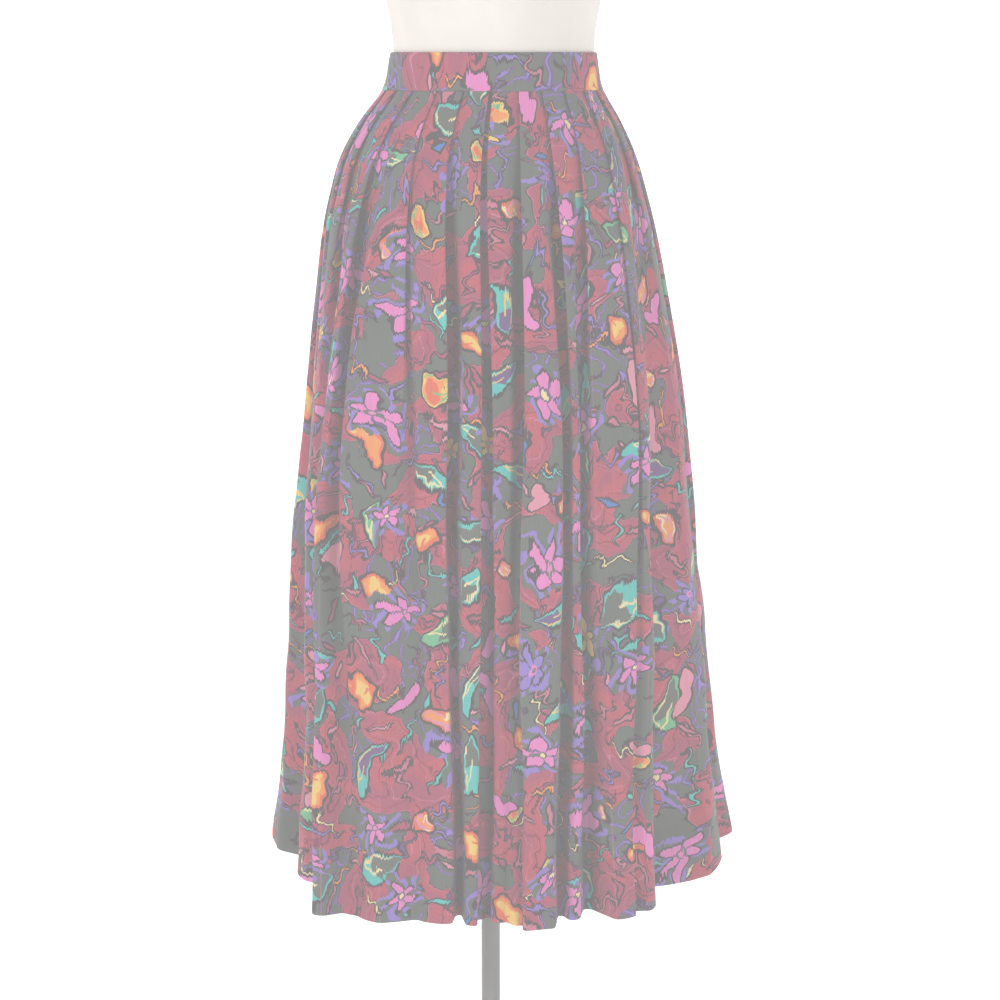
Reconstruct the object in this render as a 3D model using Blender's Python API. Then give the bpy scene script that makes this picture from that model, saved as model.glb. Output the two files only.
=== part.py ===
"""Pleated midi skirt on a limbless dress form.

Metres, +Z up, the front faces -Y. The origin is the middle of the stand's foot on the floor.
The skirt is a tube of printed cloth in three panels, laid in twenty-four knife pleats that face the centre
front, hung from a waistband whose ends lap and button at the centre back.
"""
import math

import bmesh
import bpy
import numpy as np

# ------------------------------------------------------------------ driving dimensions
WAIST_HEIGHT = 1.230      # upper edge of the waistband above the floor
BAND_WIDTH = 0.041        # height of the waistband
HEM_DROP = 0.930          # front hem below the upper edge of the waistband
SIDE_LIFT = 0.019         # how much higher the hem hangs at the sides
SEAM_GAP = 0.0003         # space between two pieces that are sewn together

CLOTH = 0.0014            # wall of the skirt
FOLD_RADIUS = 0.0010      # middle line of a pressed fold
PRESSED_DEPTH = 0.0040    # depth of a pleat that is pressed shut
BAND_CLOTH = 0.0030       # wall of the waistband, folded double
BAND_LAP = 0.036          # how far the ends of the waistband lie over each other
LAP_RISE = 0.024          # length over which the outer end climbs on the inner one
LAP_CLEAR = 0.003         # how far before the inner end it has climbed
BAND_SIDES = 72
BAND_DROPS = (0.0, BAND_WIDTH / 2.0, BAND_WIDTH)
SQUARENESS = (2.0, 2.5)   # exponent of the section at the waist and at the hem

PLEAT_TOP_OVERLAP = 0.0180   # cloth folded under each pleat at the waistband
FOLD_LEAN = (1.0, 0.3)    # how far a fold's disc is set back behind its edge, in radii, waistband and hem
BELT_SLACK = 2.3          # least distance between two folds' discs, in radii
OPEN_GAPE = 0.012         # a pleat that gapes this much is open all through
FOLD_SOFTENING = 1.3      # power of the share of the drop with which a fold's roll grows
REACH_GROWTH = 1.5        # the same for how far a fold stands out
BELLY = 0.06              # outward bow of a pleat's face at the hem, beside its length
FACE_STEPS = (0.35, 0.70) # where a face has its two points between folds
FOLD_CLEAR = 0.0004       # how far a pressed face runs past the folds that it lies on
ROWS = (0.0413, 0.062, 0.095, 0.145, 0.210, 0.300, 0.410, 0.530, 0.660, 0.800, 0.930)

BUTTON_RADIUS = 0.0085
BUTTON_THICKNESS = 0.0032
BUTTON_HOLE = 0.0010
BUTTON_HOLE_SPREAD = 0.0022
BUTTON_SIDES = 32
# Button, from its back to the floor of its dished front: (radius, height)
BUTTON_PROFILE = (
    (0.0,                    0.0),
    (BUTTON_RADIUS - 0.0012, 0.0),
    (BUTTON_RADIUS,          0.0012),
    (BUTTON_RADIUS,          BUTTON_THICKNESS - 0.0008),
    (BUTTON_RADIUS - 0.0008, BUTTON_THICKNESS),
    (BUTTON_RADIUS - 0.0020, BUTTON_THICKNESS - 0.0001),
    (BUTTON_RADIUS - 0.0030, BUTTON_THICKNESS - 0.0009),
    (0.0,                    BUTTON_THICKNESS - 0.0009),
)

POLE_RADIUS = 0.011
COLLAR_RADIUS = 0.028
COLLAR_HEIGHT = 0.034
BASE_RADIUS = 0.190
BASE_HEIGHT = 0.014
SOCKET_RADIUS = 0.022
SOCKET_HEIGHT = 0.040
POLE_SIDES = 24
COLLAR_SIDES = 32
BASE_SIDES = 48

# Foot, from its middle below to the top of the socket that holds the pole: (radius, height)
HUB_TOP = BASE_HEIGHT + SOCKET_HEIGHT
BASE_PROFILE = (
    (0.0,                   0.0),
    (BASE_RADIUS - 0.002,   0.0),
    (BASE_RADIUS,           0.002),
    (BASE_RADIUS,           0.006),
    (BASE_RADIUS - 0.004,   0.0095),
    (0.100,                 0.0125),
    (0.040,                 BASE_HEIGHT),
    (SOCKET_RADIUS + 0.003, 0.018),
    (SOCKET_RADIUS,         0.024),
    (SOCKET_RADIUS,         HUB_TOP - 0.003),
    (SOCKET_RADIUS - 0.003, HUB_TOP),
    (0.0,                   HUB_TOP),
)
# Collar under the torso: (radius, height above its lower end)
COLLAR_PROFILE = (
    (0.0,           0.0),
    (0.014,         0.0),
    (0.016,         0.002),
    (0.016,         COLLAR_HEIGHT - 0.010),
    (0.019,         COLLAR_HEIGHT - 0.006),
    (COLLAR_RADIUS, COLLAR_HEIGHT - 0.005),
    (COLLAR_RADIUS, COLLAR_HEIGHT),
    (0.0,           COLLAR_HEIGHT),
)

# Worn outline of the skirt: drop below the waistband's upper edge, half width, half depth, sideways shift
OUTLINE = np.array([
    # drop    half width  half depth  shift
    (0.000,   0.1143,     0.1040,     0.0040),
    (0.041,   0.1233,     0.1120,     0.0030),
    (0.074,   0.1450,     0.1250,     0.0000),
    (0.107,   0.1624,     0.1370,    -0.0020),
    (0.163,   0.1798,     0.1510,    -0.0020),
    (0.275,   0.2000,     0.1690,     0.0017),
    (0.389,   0.2164,     0.1840,     0.0050),
    (0.505,   0.2292,     0.1970,     0.0046),
    (0.623,   0.2387,     0.2080,     0.0075),
    (0.743,   0.2484,     0.2180,     0.0105),
    (0.866,   0.2617,     0.2280,     0.0124),
    (0.930,   0.2690,     0.2330,     0.0142),
])

# One row for each pleat, from the centre front to the centre back of its side. The fold's place is an angle
# from the front, at the waistband and at the hem (degrees). The rest are millimetres: how far the fold
# stands out at the hem, how deep the pleat is below the hips and at the hem, how wide it gapes at the hem,
# and the radius of its roll there.
RIGHT_PLEATS = np.array([
    # waist    hem     reach  mid   hem   gape  roll
    (0.3,      -1.0,  -12.0,  10.0, 12.0,  5.0,  4.0),
    (13.5,      8.4,   20.0,  16.0, 16.0,  6.0, 12.0),
    (27.0,     17.0,   -4.0,  17.0,  8.0, 14.0,  6.0),
    (40.5,     30.5,   -2.0,  16.0, 24.0, 34.0, 14.0),
    (55.0,    39.5,   -6.0,  12.0, 12.0, 14.0,  6.0),
    (70.0,    71.0,  -20.0,  12.0, 58.0, 42.0, 12.0),
    (85.0,     90.0,    0.0,  12.0, 22.0, 20.0, 12.0),
    (100.0,   107.0,    4.0,  12.0, 34.0, 18.0, 10.0),
    (115.0,   121.0,   -8.0,  12.0, 12.0, 22.0, 10.0),
    (130.0,   134.0,    6.0,  12.0, 38.0, 20.0, 12.0),
    (145.0,   149.0,   -4.0,  12.0, 12.0, 20.0, 10.0),
    (160.0,   162.0,    8.0,  12.0, 34.0, 16.0, 12.0),
])
LEFT_PLEATS = np.array([
    # waist    hem     reach  mid   hem   gape  roll
    (-2.0,     -8.0,    6.0,  10.0, 20.0,  5.0,  4.0),
    (-15.5,   -15.5,    0.0,  18.0, 22.0,  9.0,  6.0),
    (-30.0,   -33.0,   12.0,  15.0, 24.0, 34.0, 14.0),
    (-46.0,   -42.5,   24.0,  14.0, 22.0, 22.0, 12.0),
    (-61.0,   -59.0,  -14.0,  13.0, 14.0, 18.0,  8.0),
    (-76.0,   -73.0,  -34.0,  12.0, 10.0, 18.0,  8.0),
    (-91.0,   -86.0,    0.0,  12.0, 50.0, 24.0, 12.0),
    (-106.0, -103.0,    4.0,  12.0, 14.0, 20.0, 10.0),
    (-121.0, -118.0,   -6.0,  12.0, 34.0, 22.0, 12.0),
    (-136.0, -134.0,    6.0,  12.0, 12.0, 22.0, 10.0),
    (-151.0, -150.0,   -4.0,  12.0, 36.0, 20.0, 12.0),
    (-166.0, -166.0,    6.0,  12.0, 14.0, 14.0, 10.0),
])
CENTRE_FRONT = (-0.9, -4.5)   # angle of the centre front at the waistband and at the hem
SIDE_SEAM_PLEAT = 6       # the side seams lie on the face that leads to this pleat's fold
MID_DROP = 0.300          # drop at which the middle depth holds
PLEAT_POINTS = 8          # points of the middle line for each pleat
SIDE_POINTS = len(LEFT_PLEATS) * PLEAT_POINTS - 2

# Dress form: height above the waistband's upper edge, half width, half depth, sideways shift, forward shift
FORM = np.array([
    # height   half width  half depth  shift    forward
    (-0.300,   0.1400,     0.1130,     0.0000,  0.000),
    (-0.292,   0.1520,     0.1240,     0.0000,  0.000),
    (-0.260,   0.1640,     0.1350,    -0.0005,  0.000),
    (-0.210,   0.1660,     0.1370,    -0.0015,  0.000),
    (-0.163,   0.1630,     0.1340,    -0.0020,  0.000),
    (-0.107,   0.1490,     0.1235,    -0.0018,  0.000),
    (-0.074,   0.1330,     0.1140,     0.0005,  0.000),
    (-0.044,   0.1160,     0.1046,     0.0029,  0.000),
    (-0.020,   0.1110,     0.1008,     0.0036,  0.000),
    (0.000,    0.1108,     0.1005,     0.0040,  0.000),
    (0.030,    0.1135,     0.1010,     0.0038,  0.002),
    (0.080,    0.1240,     0.1050,     0.0036,  0.006),
    (0.140,    0.1380,     0.1120,     0.0035,  0.014),
    (0.190,    0.1460,     0.1160,     0.0035,  0.018),
    (0.240,    0.1500,     0.1120,     0.0035,  0.014),
    (0.290,    0.1570,     0.1030,     0.0035,  0.006),
    (0.325,    0.1650,     0.0920,     0.0035,  0.000),
    (0.350,    0.1620,     0.0820,     0.0035, -0.004),
    (0.368,    0.1420,     0.0740,     0.0035, -0.006),
    (0.384,    0.1130,     0.0670,     0.0035, -0.006),
    (0.400,    0.0840,     0.0610,     0.0035, -0.005),
    (0.416,    0.0650,     0.0570,     0.0035, -0.003),
    (0.440,    0.0560,     0.0550,     0.0035, -0.001),
    (0.484,    0.0550,     0.0550,     0.0035,  0.000),
    (0.490,    0.0520,     0.0520,     0.0035,  0.000),
])
FORM_SIDES = 40


# ------------------------------------------------------------------ small tools
def clear_scene():
    for thing in list(bpy.data.objects):
        bpy.data.objects.remove(thing, do_unlink=True)


def material(name, colour, roughness, metallic=0.0):
    made = bpy.data.materials.new(name)
    made.use_nodes = True
    shader = made.node_tree.nodes["Principled BSDF"]
    shader.inputs["Base Color"].default_value = (*colour, 1.0)
    shader.inputs["Roughness"].default_value = roughness
    shader.inputs["Metallic"].default_value = metallic
    return made


def add_object(name, vertices, faces, finish, sharp_degrees=40.0):
    mesh = bpy.data.meshes.new(name)
    mesh.from_pydata([tuple(v) for v in vertices], [], faces)
    mesh.validate()
    mesh.materials.append(finish)
    mesh.shade_smooth()
    mesh.set_sharp_from_angle(angle=math.radians(sharp_degrees))
    made = bpy.data.objects.new(name, mesh)
    bpy.context.collection.objects.link(made)
    return made


def smooth_table(table, at):
    """Cubic curve through a table whose first column is the key: Hermite spans with mean slopes."""
    key = table[:, 0]
    values = table[:, 1:]
    slopes = np.gradient(values, key, axis=0)
    at = np.clip(at, key[0], key[-1])
    low = np.clip(np.searchsorted(key, at, side="right") - 1, 0, len(key) - 2)
    step = key[low + 1] - key[low]
    t = (at - key[low]) / step
    return ((2 * t**3 - 3 * t**2 + 1) * values[low] + (t**3 - 2 * t**2 + t) * step * slopes[low]
            + (3 * t**2 - 2 * t**3) * values[low + 1] + (t**3 - t**2) * step * slopes[low + 1])


# ------------------------------------------------------------------ the skirt's section
class Section:
    """Outline of the worn skirt at one drop: (|x/a|^n + |y/b|^n) = 1, measured along its length."""

    def __init__(self, drop):
        self.drop = drop
        self.half_width, self.half_depth, self.shift = smooth_table(OUTLINE, drop)
        self.power = np.interp(drop, (0.0, HEM_DROP), SQUARENESS)
        turn = np.radians(np.linspace(-200.0, 200.0, 1601))
        across = np.sin(turn)
        ahead = np.cos(turn)
        reach = (np.abs(across / self.half_width) ** self.power
                 + np.abs(ahead / self.half_depth) ** self.power) ** (-1.0 / self.power)
        self.turn = turn
        self.points = np.stack([reach * across, -reach * ahead], axis=1)
        steps = np.linalg.norm(np.diff(self.points, axis=0), axis=1)
        along = np.concatenate([[0.0], np.cumsum(steps)])
        self.along = along - np.interp(0.0, turn, along)
        run = np.gradient(self.points, axis=0)
        run /= np.linalg.norm(run, axis=1)[:, None]
        self.outward = np.stack([run[:, 1], -run[:, 0]], axis=1)
        self.girth = np.interp(math.pi, turn, self.along) - np.interp(-math.pi, turn, self.along)

    def place_of(self, degrees):
        """Length from the front to the point seen at x = half width times the sine of the angle."""
        angle = np.radians(degrees)
        across = np.sin(angle)
        ahead = np.sign(np.cos(angle)) * (1.0 - np.abs(across) ** self.power) ** (1.0 / self.power)
        turn = np.arctan2(self.half_width * across, self.half_depth * ahead)
        turn = np.where(np.abs(turn - angle) > math.pi, turn + np.sign(angle) * 2.0 * math.pi, turn)
        return np.interp(turn, self.turn, self.along)

    def to_world(self, along, out):
        """Point at a length round the outline and a distance out of it, on the skirt at this drop."""
        base = [np.interp(along, self.along, self.points[:, k]) for k in (0, 1)]
        normal = [np.interp(along, self.along, self.outward[:, k]) for k in (0, 1)]
        x = base[0] + out * normal[0]
        y = base[1] + out * normal[1]
        lift = SIDE_LIFT * (x / self.half_width) ** 4 * (self.drop / HEM_DROP) ** 2
        return np.stack([x + self.shift, y, np.full_like(x, WAIST_HEIGHT - self.drop) + lift], axis=-1)


def turned(vector, angle):
    """The vectors turned by the angles, counter-clockwise."""
    c, s = np.cos(angle), np.sin(angle)
    return np.stack([c * vector[:, 0] - s * vector[:, 1], s * vector[:, 0] + c * vector[:, 1]], axis=1)


def belt_side(start, end, radii, way):
    """Unit normal of the belt line that crosses between two discs: normal . (end - start) = sum of radii."""
    gap = end - start
    length = np.linalg.norm(gap, axis=1)
    angle = np.arccos(np.clip(radii / length, -1.0, 1.0))
    return turned(gap / length[:, None], way * angle)


def arc(centre, radius, start, end, way, count):
    """Points and radial directions round each disc from one direction to another, clockwise if way is -1."""
    first = np.arctan2(start[:, 1], start[:, 0])
    last = np.arctan2(end[:, 1], end[:, 0])
    sweep = way * np.mod(way * (last - first), 2.0 * math.pi)
    angle = first[:, None] + sweep[:, None] * np.linspace(0.0, 1.0, count)[None, :]
    radial = np.stack([np.cos(angle), np.sin(angle)], axis=-1)
    return centre[:, None, :] + radius[:, None, None] * radial, radial


def widest_roll(run, depth, lean):
    """Largest radius r of two equal discs that a belt can cross between.

    Their middles are run - 2 lean r apart along the outline and depth - 2 r across it, and the belt crosses
    while that distance d stays over BELT_SLACK r: the root of (BELT_SLACK r)^2 = d^2 for a distance
    d^2 = (run - 2 lean r)^2 + (depth - 2 r)^2.
    """
    square = BELT_SLACK**2 - 4.0 - 4.0 * lean**2
    linear = 4.0 * (lean * run + depth)
    constant = run**2 + depth**2
    return 2.0 * constant / (linear + np.sqrt(np.maximum(linear**2 + 4.0 * square * constant, 0.0)))


def pleat_sizes(section, pleats, centre):
    """Fold places (towards the centre front), overlap, depth, reach and disc radii at one drop."""
    waist, hem, reach, mid_depth, hem_depth, gape, roll = pleats.T
    down = (section.drop - ROWS[0]) / (HEM_DROP - ROWS[0])
    mid = (MID_DROP - ROWS[0]) / (HEM_DROP - ROWS[0])
    angle = waist + (hem - waist) * down
    fold = -np.abs(section.place_of(angle) - centre)
    pressed = 1000.0 * PRESSED_DEPTH
    rise = np.clip(down / mid, 0.0, 1.0)
    rise = rise * rise * (3.0 - 2.0 * rise)
    fall = np.clip((down - mid) / (1.0 - mid), 0.0, 1.0)
    depth = 0.001 * (pressed + (mid_depth - pressed) * rise + (hem_depth - mid_depth) * fall)
    overlap = PLEAT_TOP_OVERLAP * (1.0 - down) ** 2 - 0.001 * gape * down
    reach = 0.001 * reach * down ** REACH_GROWTH
    lean = np.interp(down, (0.0, 1.0), FOLD_LEAN)
    face_run = fold[:-1] - fold[1:] + overlap[1:]
    face_rise = reach[:-1] - reach[1:] + depth[1:]
    face_limit = widest_roll(face_run, face_rise, lean)
    opened = np.clip(-overlap / OPEN_GAPE, 0.0, 1.0)
    radius = FOLD_RADIUS + (0.001 * roll - FOLD_RADIUS) * down ** FOLD_SOFTENING
    radius[:-1] = np.minimum(radius[:-1], face_limit)
    radius[1:] = np.minimum(radius[1:], face_limit)
    radius = np.minimum(radius, widest_roll(np.abs(overlap), depth, lean * np.sign(overlap)))
    radius = np.minimum(radius, depth * (FOLD_RADIUS / PRESSED_DEPTH + 1.75 * opened))
    return fold, overlap, depth, reach, np.maximum(radius, FOLD_RADIUS)


def half_line(section, pleats, centre):
    """Middle line of the cloth from the centre back to the centre front of one side.

    In the plane of length (towards the front) and height, the cloth runs like a belt over a small disc at
    each fold and under a small disc at the bottom of each pleat. Returns points and outer normals.
    """
    fold, overlap, depth, reach, radius = pleat_sizes(section, pleats, centre)
    top = reach - CLOTH / 2.0
    lean = np.interp(section.drop, (ROWS[0], HEM_DROP), FOLD_LEAN)
    over = np.stack([fold - lean * radius, top - radius], axis=1)
    under = np.stack([fold - overlap + lean * radius, top - depth + radius], axis=1)
    back_fold = belt_side(over, under, 2.0 * radius, 1.0)
    face = belt_side(under[1:], over[:-1], radius[1:] + radius[:-1], -1.0)
    level = np.array([[0.0, -1.0]])
    face_in = np.concatenate([face, level])
    face_out = np.concatenate([level, face])
    fold_points, fold_normals = arc(over, radius, -face_in, back_fold, -1.0, 3)
    under_points, under_normals = arc(under, radius, -back_fold, face_out, 1.0, 3)
    flat = np.clip((2.0 * PRESSED_DEPTH - depth) / PRESSED_DEPTH, 0.0, 1.0)
    flat *= np.clip(overlap / PRESSED_DEPTH, 0.0, 1.0)
    belly = BELLY * np.interp(section.drop, (ROWS[0], HEM_DROP), (0.0, 1.0))
    points = []
    normals = []
    for j in reversed(range(len(fold))):
        points.extend([*fold_points[j], *under_points[j]])
        normals.extend([*fold_normals[j], *(-under_normals[j])])
        if j == 0:
            continue
        start = under_points[j][-1]
        end = fold_points[j - 1][0]
        low = np.array([fold[j] + FOLD_CLEAR, start[1]])
        high = np.array([fold[j - 1] - overlap[j - 1] - FOLD_CLEAR, end[1]])
        for part, stop in zip(FACE_STEPS, (low, high)):
            straight = start + (end - start) * part - face[j - 1] * belly * np.linalg.norm(end - start)
            points.append(straight + (stop - straight) * flat[j])
            normals.append(-face[j - 1])
    points = np.array(points)
    normals = np.array(normals)
    return points, normals


def full_line(section):
    """Middle line of the cloth once round, from the centre back over the left side and the front."""
    centre = section.place_of(np.interp(section.drop, (ROWS[0], HEM_DROP), CENTRE_FRONT))
    left, left_normals = half_line(section, LEFT_PLEATS, centre)
    right, right_normals = half_line(section, RIGHT_PLEATS, centre)
    left[:, 0] = centre + left[:, 0]
    right[:, 0] = centre - right[:, 0]
    right_normals[:, 0] *= -1.0
    return np.concatenate([left, right[::-1]]), np.concatenate([left_normals, right_normals[::-1]])


def seam_cut(points, normals, index):
    """Two points half a seam's gap either side of the middle between points index and index + 1."""
    run = points[index + 1] - points[index]
    run = run / np.linalg.norm(run)
    middle = (points[index] + points[index + 1]) / 2.0
    normal = normals[index] + normals[index + 1]
    normal = normal / np.linalg.norm(normal)
    return middle - run * SEAM_GAP / 2.0, middle + run * SEAM_GAP / 2.0, normal


def panel_rows():
    """For each panel the rows of (middle points, normals, section), in order round the skirt."""
    panels = {"skirt_back_left": [], "skirt_front": [], "skirt_back_right": []}
    left_seam = (len(LEFT_PLEATS) - 1 - SIDE_SEAM_PLEAT) * PLEAT_POINTS - 2
    right_seam = 2 * SIDE_POINTS - 2 - left_seam
    for drop in ROWS:
        section = Section(drop)
        points, normals = full_line(section)
        back = (points[0][0] + section.girth + points[-1][0]) / 2.0
        out = (points[0][1] + points[-1][1]) / 2.0
        first = np.array([back - section.girth + SEAM_GAP / 2.0, out])
        last = np.array([back - SEAM_GAP / 2.0, out])
        up = np.array([0.0, 1.0])
        first_third = [first + (points[0] - first) * part for part in (0.0, 1.0 / 3.0, 2.0 / 3.0)]
        last_third = [last + (points[-1] - last) * part for part in (2.0 / 3.0, 1.0 / 3.0, 0.0)]
        a_end, b_start, left_normal = seam_cut(points, normals, left_seam)
        b_end, c_start, right_normal = seam_cut(points, normals, right_seam)
        parts = (
            ("skirt_back_left", [*first_third, *points[:left_seam + 1], a_end],
             [up, up, up, *normals[:left_seam + 1], left_normal]),
            ("skirt_front", [b_start, *points[left_seam + 1:right_seam + 1], b_end],
             [left_normal, *normals[left_seam + 1:right_seam + 1], right_normal]),
            ("skirt_back_right", [c_start, *points[right_seam + 1:], *last_third],
             [right_normal, *normals[right_seam + 1:], up, up, up]),
        )
        for name, line, sides in parts:
            panels[name].append((np.array(line), np.array(sides), section))
    return panels


def wall(rows):
    """Closed wall from rows of middle points: an outer and an inner skin, joined round the rim."""
    vertices = []
    for line, normals, section in rows:
        for side in (0.5, -0.5):
            skin = line + normals * CLOTH * side
            vertices.extend(section.to_world(skin[:, 0], skin[:, 1]))
    count = len(rows[0][0])

    def at(row, side, column):
        return (row * 2 + side) * count + column

    faces = []
    for row in range(len(rows) - 1):
        for column in range(count - 1):
            faces.append((at(row, 0, column), at(row + 1, 0, column),
                          at(row + 1, 0, column + 1), at(row, 0, column + 1)))
            faces.append((at(row, 1, column), at(row, 1, column + 1),
                          at(row + 1, 1, column + 1), at(row + 1, 1, column)))
        for column, flip in ((0, True), (count - 1, False)):
            rim = (at(row, 0, column), at(row + 1, 0, column), at(row + 1, 1, column), at(row, 1, column))
            faces.append(rim[::-1] if flip else rim)
    for row, flip in ((0, False), (len(rows) - 1, True)):
        for column in range(count - 1):
            rim = (at(row, 0, column), at(row, 0, column + 1), at(row, 1, column + 1), at(row, 1, column))
            faces.append(rim[::-1] if flip else rim)
    return vertices, faces


# ------------------------------------------------------------------ the pieces
def skirt_panels(finish):
    for name, rows in panel_rows().items():
        add_object(name, *wall(rows), finish, sharp_degrees=50.0)


def lap_offset(section, along):
    """How far the outer end of the waistband stands out where it lies on the inner end."""
    start = section.girth / 2.0 - BAND_LAP / 2.0 - LAP_RISE - LAP_CLEAR
    part = np.clip((along - start) / LAP_RISE, 0.0, 1.0)
    return (BAND_CLOTH + SEAM_GAP) * part * part * (3.0 - 2.0 * part)


def waistband(finish):
    """A strip once round the waist whose right end lies on its left end at the centre back."""
    vertices = []
    for drop in BAND_DROPS:
        section = Section(drop)
        reach = (section.girth + BAND_LAP) / 2.0
        along = np.linspace(-reach, reach, BAND_SIDES + 1)
        out = lap_offset(section, along)
        for side in (0.0, -BAND_CLOTH):
            vertices.extend(section.to_world(along, out + side))
    count = BAND_SIDES + 1
    loop = [0, 2, 4, 5, 3, 1]
    faces = []
    for a, b in zip(loop, loop[1:] + loop[:1]):
        for column in range(BAND_SIDES):
            faces.append((a * count + column, b * count + column,
                          b * count + column + 1, a * count + column + 1))
    for column, flip in ((0, True), (BAND_SIDES, False)):
        ring = [row * count + column for row in loop]
        for quad in ((ring[0], ring[1], ring[4], ring[5]), (ring[1], ring[2], ring[3], ring[4])):
            faces.append(quad[::-1] if flip else quad)
    add_object("waistband", vertices, faces, finish)


def turned_solid(name, profile, sides, finish):
    """Solid turned about the upright axis from a profile of (radius, height) points, bottom to top."""
    vertices = []
    for radius, height in profile[1:-1]:
        for k in range(sides):
            angle = 2.0 * math.pi * k / sides
            vertices.append((radius * math.cos(angle), radius * math.sin(angle), height))
    rings = len(profile) - 2
    faces = []
    for ring in range(rings - 1):
        for k in range(sides):
            n = (k + 1) % sides
            faces.append((ring * sides + k, ring * sides + n, (ring + 1) * sides + n, (ring + 1) * sides + k))
    faces.append(tuple(reversed(range(sides))))
    faces.append(tuple(range((rings - 1) * sides, rings * sides)))
    return add_object(name, vertices, faces, finish, sharp_degrees=35.0)


def form_torso(finish):
    """Limbless torso: ellipses stacked through the form's table, closed flat at both ends."""
    heights = FORM[:, 0]
    vertices = []
    for height in heights:
        half_width, half_depth, shift, forward = smooth_table(FORM, height)
        for k in range(FORM_SIDES):
            angle = 2.0 * math.pi * k / FORM_SIDES
            vertices.append((shift + half_width * math.cos(angle), -forward + half_depth * math.sin(angle),
                             WAIST_HEIGHT + height))
    rings = len(heights)
    faces = []
    for ring in range(rings - 1):
        for k in range(FORM_SIDES):
            n = (k + 1) % FORM_SIDES
            faces.append((ring * FORM_SIDES + k, ring * FORM_SIDES + n,
                          (ring + 1) * FORM_SIDES + n, (ring + 1) * FORM_SIDES + k))
    faces.append(tuple(reversed(range(FORM_SIDES))))
    faces.append(tuple(range((rings - 1) * FORM_SIDES, rings * FORM_SIDES)))
    add_object("form_torso", vertices, faces, finish)


def form_stand(finish):
    """Foot with its socket, pole, and the collar that the torso stands on."""
    torso_bottom = WAIST_HEIGHT + FORM[0, 0] - SEAM_GAP
    collar_bottom = torso_bottom - COLLAR_HEIGHT
    pole_bottom = HUB_TOP + SEAM_GAP
    pole_top = collar_bottom - SEAM_GAP
    turned_solid("stand_base", BASE_PROFILE, BASE_SIDES, finish)
    turned_solid("stand_pole", (
        (0.0, pole_bottom), (POLE_RADIUS, pole_bottom), (POLE_RADIUS, pole_top), (0.0, pole_top)),
        POLE_SIDES, finish)
    turned_solid("stand_collar", [(radius, collar_bottom + height) for radius, height in COLLAR_PROFILE],
                 COLLAR_SIDES, finish)


def waistband_button(finish):
    """Four-hole button, set square on the outer end of the waistband."""
    section = Section(BAND_WIDTH / 2.0)
    along = section.girth / 2.0
    seat = section.to_world(np.array([along]), np.array([BAND_CLOTH + 2.0 * SEAM_GAP]))[0]
    lean = math.atan2(OUTLINE[1, 2] - OUTLINE[0, 2], BAND_WIDTH)
    button = turned_solid("waistband_button", BUTTON_PROFILE, BUTTON_SIDES, finish)
    drill = bmesh.new()
    for k in range(4):
        angle = math.pi / 4.0 + k * math.pi / 2.0
        hole = bmesh.ops.create_cone(drill, cap_ends=True, segments=12, radius1=BUTTON_HOLE,
                                     radius2=BUTTON_HOLE, depth=3.0 * BUTTON_THICKNESS)
        bmesh.ops.translate(drill, verts=hole["verts"], vec=(
            BUTTON_HOLE_SPREAD * math.cos(angle), BUTTON_HOLE_SPREAD * math.sin(angle), 0.0))
    mesh = bpy.data.meshes.new("button_drill")
    drill.to_mesh(mesh)
    drill.free()
    cutter = bpy.data.objects.new("button_drill", mesh)
    cutter.hide_render = True
    cutter.display_type = "WIRE"
    bpy.context.collection.objects.link(cutter)
    cut = button.modifiers.new("holes", "BOOLEAN")
    cut.object = cutter
    for thing in (button, cutter):
        thing.location = seat
        thing.rotation_euler = (lean - math.pi / 2.0, 0.0, 0.0)


def build():
    clear_scene()
    cloth = material("printed cloth", (0.34, 0.12, 0.16), 0.75)
    cover = material("form cover", (0.86, 0.83, 0.78), 0.8)
    steel = material("painted steel", (0.33, 0.33, 0.34), 0.4, 0.6)
    plastic = material("button plastic", (0.12, 0.05, 0.07), 0.35)
    waistband(cloth)
    skirt_panels(cloth)
    waistband_button(plastic)
    form_torso(cover)
    form_stand(steel)


build()
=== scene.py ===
"""Pleated midi skirt on a limbless dress form, shown on a pale floor."""
import math

import bpy
import numpy as np
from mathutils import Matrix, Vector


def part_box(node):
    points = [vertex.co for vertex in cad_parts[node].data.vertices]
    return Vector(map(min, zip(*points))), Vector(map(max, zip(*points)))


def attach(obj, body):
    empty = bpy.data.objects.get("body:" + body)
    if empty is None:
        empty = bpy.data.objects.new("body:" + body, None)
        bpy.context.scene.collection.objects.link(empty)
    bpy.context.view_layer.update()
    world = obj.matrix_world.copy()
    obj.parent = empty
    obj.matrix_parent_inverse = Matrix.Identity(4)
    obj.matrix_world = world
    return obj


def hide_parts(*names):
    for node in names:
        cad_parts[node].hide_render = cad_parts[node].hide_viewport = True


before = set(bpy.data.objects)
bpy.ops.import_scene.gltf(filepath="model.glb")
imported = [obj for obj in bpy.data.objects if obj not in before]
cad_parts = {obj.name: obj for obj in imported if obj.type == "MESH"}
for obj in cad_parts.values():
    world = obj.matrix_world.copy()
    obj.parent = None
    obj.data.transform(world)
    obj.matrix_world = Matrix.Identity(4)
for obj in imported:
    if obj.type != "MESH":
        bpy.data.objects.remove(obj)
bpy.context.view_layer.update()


# ------------ skirt panels
# Three panels of soft printed crepe, joined by side seams and a centre back seam. They are laid in knife
# pleats that face the centre front, pressed flat down to the hips and open below. The hem is turned up and
# blind-stitched.
WAIST_HEIGHT = 1.230
BAND_WIDTH = 0.041
HEM_DROP = 0.930
HEM_DEPTH = 0.066
SIDE_LIFT = 0.019
SEAM_GAP = 0.0003
CLOTH = 0.0010
WALL_MIDDLE = 0.0007  # how far the cloth's middle lies inside the outline
FOLD_RADIUS = 0.0010
PRESSED_DEPTH = 0.0040
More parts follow.
